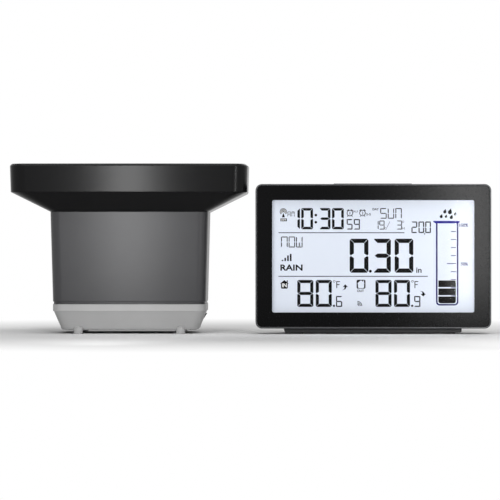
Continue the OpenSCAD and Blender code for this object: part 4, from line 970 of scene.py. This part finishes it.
def drawGlass():
    x, low, wide, high = glass["lid"]
    addShares("lid", lidShares, x, low, wide, high)
    for x, start in zip(glass["bends"], (180, 270)):
        addArc("navy", x, glass["bendY"], glass["bend"] - glass["wall"], glass["bend"], start, 90,
               glass["bendSteps"])
    half, right = glass["line"] / 2, glass["markRight"]
    for y in glass["marks"]:
        addBar("navy", right - glass["mark"], right, y - half, y + half)
    addBar("navy", right - glass["longMark"], right, glass["longMarkY"] - half,
           glass["longMarkY"] + half)
    for y in glass["filledMarks"]:
        addBar("violet", right - glass["mark"], right, y - half, y + half)
    addRounded("black", lowLevel["left"], lowLevel["right"], lowLevel["low"], lowLevel["high"],
               lowLevel["corner"], 0)
    for x, top, low, wide in drops:
        centreX, centreY = x - dropLook["leanShare"] * wide, low + wide / 2
        points = [(x, top)]
        for k in range(dropLook["steps"] + 1):
            turn = math.radians(dropLook["start"] + dropLook["turn"] * k / dropLook["steps"])
            points.append((centreX + wide / 2 * math.cos(turn),
                           centreY + wide / 2 * math.sin(turn)))
        addPolygon("black", points)


# Flat ink of the layout, turned to a thin skin in front of the glass
def placeInk(bm, name, depth, finish):
    bmesh.ops.recalc_face_normals(bm, faces=bm.faces)
    made = bmesh.ops.extrude_face_region(bm, geom=list(bm.faces))["geom"]
    bmesh.ops.translate(bm, vec=(0, 0, picture["thick"]),
                        verts=kindOf(made, bmesh.types.BMVert))
    corner = Matrix.Translation((-console["viewWide"] / 2, -console["viewHigh"] / 2, depth))
    piece = makePiece(bm, name, consolePlace @ corner)
    dress(piece, "base", finish, (), 0)
    piece.data.shade_flat()


def buildPicture():
    drawText()
    drawIcons()
    drawGlass()
    halo = bmesh.new()
    for ink in ("black", "slate", "navy", "lid"):
        mesh = bpy.data.meshes.new("halo")
        inks[ink].to_mesh(mesh)
        halo.from_mesh(mesh)
        bpy.data.meshes.remove(mesh)
    halo.normal_update()
    bmesh.ops.inset_region(halo, faces=list(halo.faces), thickness=picture["halo"],
                           use_boundary=True, use_even_offset=False, use_outset=True)
    placeInk(halo, "pictureHalo", picture["haloDepth"], "haloWhite")
    for ink, bm in inks.items():
        over = ink in ("over", "violet", "tile")
        placeInk(bm, "picture" + ink.capitalize(),
                 picture["overDepth" if over else "inkDepth"], inkFinishes[ink])


buildPicture()
print("picture drawn")

# Stage: a white floor that stays lit around the object and runs out into plain white
stageLook = {"floorHalf": 6.0, "fadeStart": 0.16, "fadeEnd": 0.36, "white": "#f4f4f4",
             "skyFill": 0.12}


# 1 for what the eye sees directly, in a gloss or through clear plastic, 0 for light that falls
def seenDirectly(tree):
    ray = addNode(tree, "ShaderNodeLightPath", {})
    gloss = addNode(tree, "ShaderNodeMath", {0: ray.outputs["Is Camera Ray"],
                                             1: ray.outputs["Is Glossy Ray"]},
                    operation="MAXIMUM")
    return addNode(tree, "ShaderNodeMath", {0: gloss.outputs[0],
                                            1: ray.outputs["Is Transmission Ray"]},
                   operation="MAXIMUM").outputs[0]


def buildStage():
    bm = bmesh.new()
    bmesh.ops.create_grid(bm, x_segments=1, y_segments=1, size=stageLook["floorHalf"])
    mesh = bpy.data.meshes.new("floor")
    bm.to_mesh(mesh)
    bm.free()
    floor = bpy.data.objects.new("floor", mesh)
    bpy.context.scene.collection.objects.link(floor)
    material, tree = newMaterial("stageWhite")
    place = addNode(tree, "ShaderNodeTexCoord", {})
    reach = addNode(tree, "ShaderNodeVectorMath", {0: place.outputs["Object"]}, operation="LENGTH")
    fade = addNode(tree, "ShaderNodeMapRange",
                   {"Value": reach.outputs["Value"], "From Min": stageLook["fadeStart"],
                    "From Max": stageLook["fadeEnd"]})
    matt = addNode(tree, "ShaderNodeBsdfDiffuse", {"Color": linearColour(stageLook["white"])})
    plain = addNode(tree, "ShaderNodeEmission", {"Color": (1, 1, 1, 1), "Strength": 1.0})
    share = addNode(tree, "ShaderNodeMath", {0: fade.outputs["Result"], 1: seenDirectly(tree)},
                    operation="MULTIPLY")
    blend = addNode(tree, "ShaderNodeMixShader", {0: share.outputs[0], 1: matt.outputs[0],
                                                  2: plain.outputs[0]})
    addNode(tree, "ShaderNodeOutputMaterial", {"Surface": blend.outputs[0]})
    mesh.materials.append(material)


def buildWorld():
    world = bpy.data.worlds.new("studio")
    bpy.context.scene.world = world
    world.use_nodes = True
    tree = world.node_tree
    tree.nodes.clear()
    strength = addNode(tree, "ShaderNodeMapRange",
                       {"Value": seenDirectly(tree), "To Min": stageLook["skyFill"],
                        "To Max": 1.0})
    sky = addNode(tree, "ShaderNodeBackground", {"Color": (1, 1, 1, 1),
                                                 "Strength": strength.outputs["Result"]})
    addNode(tree, "ShaderNodeOutputWorld", {"Surface": sky.outputs[0]})


lamps = {
    # Tall strips near the two fronts: each leaves one broad soft band of light
    "collectorStrip": {"at": (-0.0865, -0.27, 0.108), "aim": (-0.0865, 0, 0.094),
                       "size": (0.03, 0.19), "watts": 0.085, "spread": 75},
    "consoleStrip": {"at": (0.165, -0.33, 0.083), "aim": (0.14, -0.04, 0.07),
                     "size": (0.03, 0.13), "watts": 0.09, "spread": 75},
    "overhead": {"at": (0.0, -0.5, 1.3), "aim": (0, 0, 0), "size": (1.2, 1.2), "watts": 9,
                 "spread": 180},
    "backSoft": {"at": (0.2, 1.2, 0.8), "aim": (0, 0, 0.05), "size": (1.2, 1.0), "watts": 9,
                 "spread": 180},
}


def buildLamps():
    for name, lamp in lamps.items():
        data = bpy.data.lights.new(name, "AREA")
        data.shape = "RECTANGLE"
        data.size, data.size_y = lamp["size"]
        data.energy, data.spread = lamp["watts"], math.radians(lamp["spread"])
        item = bpy.data.objects.new(name, data)
        bpy.context.scene.collection.objects.link(item)
        item.location = lamp["at"]
        aim = Vector(lamp["aim"]) - Vector(lamp["at"])
        item.rotation_euler = aim.to_track_quat("-Z", "Y").to_euler()
        item.visible_camera = False


cameraSet = {"lens": 200, "sensor": 36, "viewWide": 0.318, "height": 0.0535}


def buildCamera():
    data = bpy.data.cameras.new("camera")
    data.lens, data.sensor_width = cameraSet["lens"], cameraSet["sensor"]
    camera = bpy.data.objects.new("camera", data)
    bpy.context.scene.collection.objects.link(camera)
    distance = cameraSet["viewWide"] * cameraSet["lens"] / cameraSet["sensor"]
    camera.location = (0, frontCaseLow.y * mm - distance, cameraSet["height"])
    camera.rotation_euler = (math.radians(90), 0, 0)
    bpy.context.scene.camera = camera


buildStage()
buildWorld()
buildLamps()
buildCamera()
bpy.context.scene.view_settings.view_transform = "Standard"
print("stage, lamps and camera made")
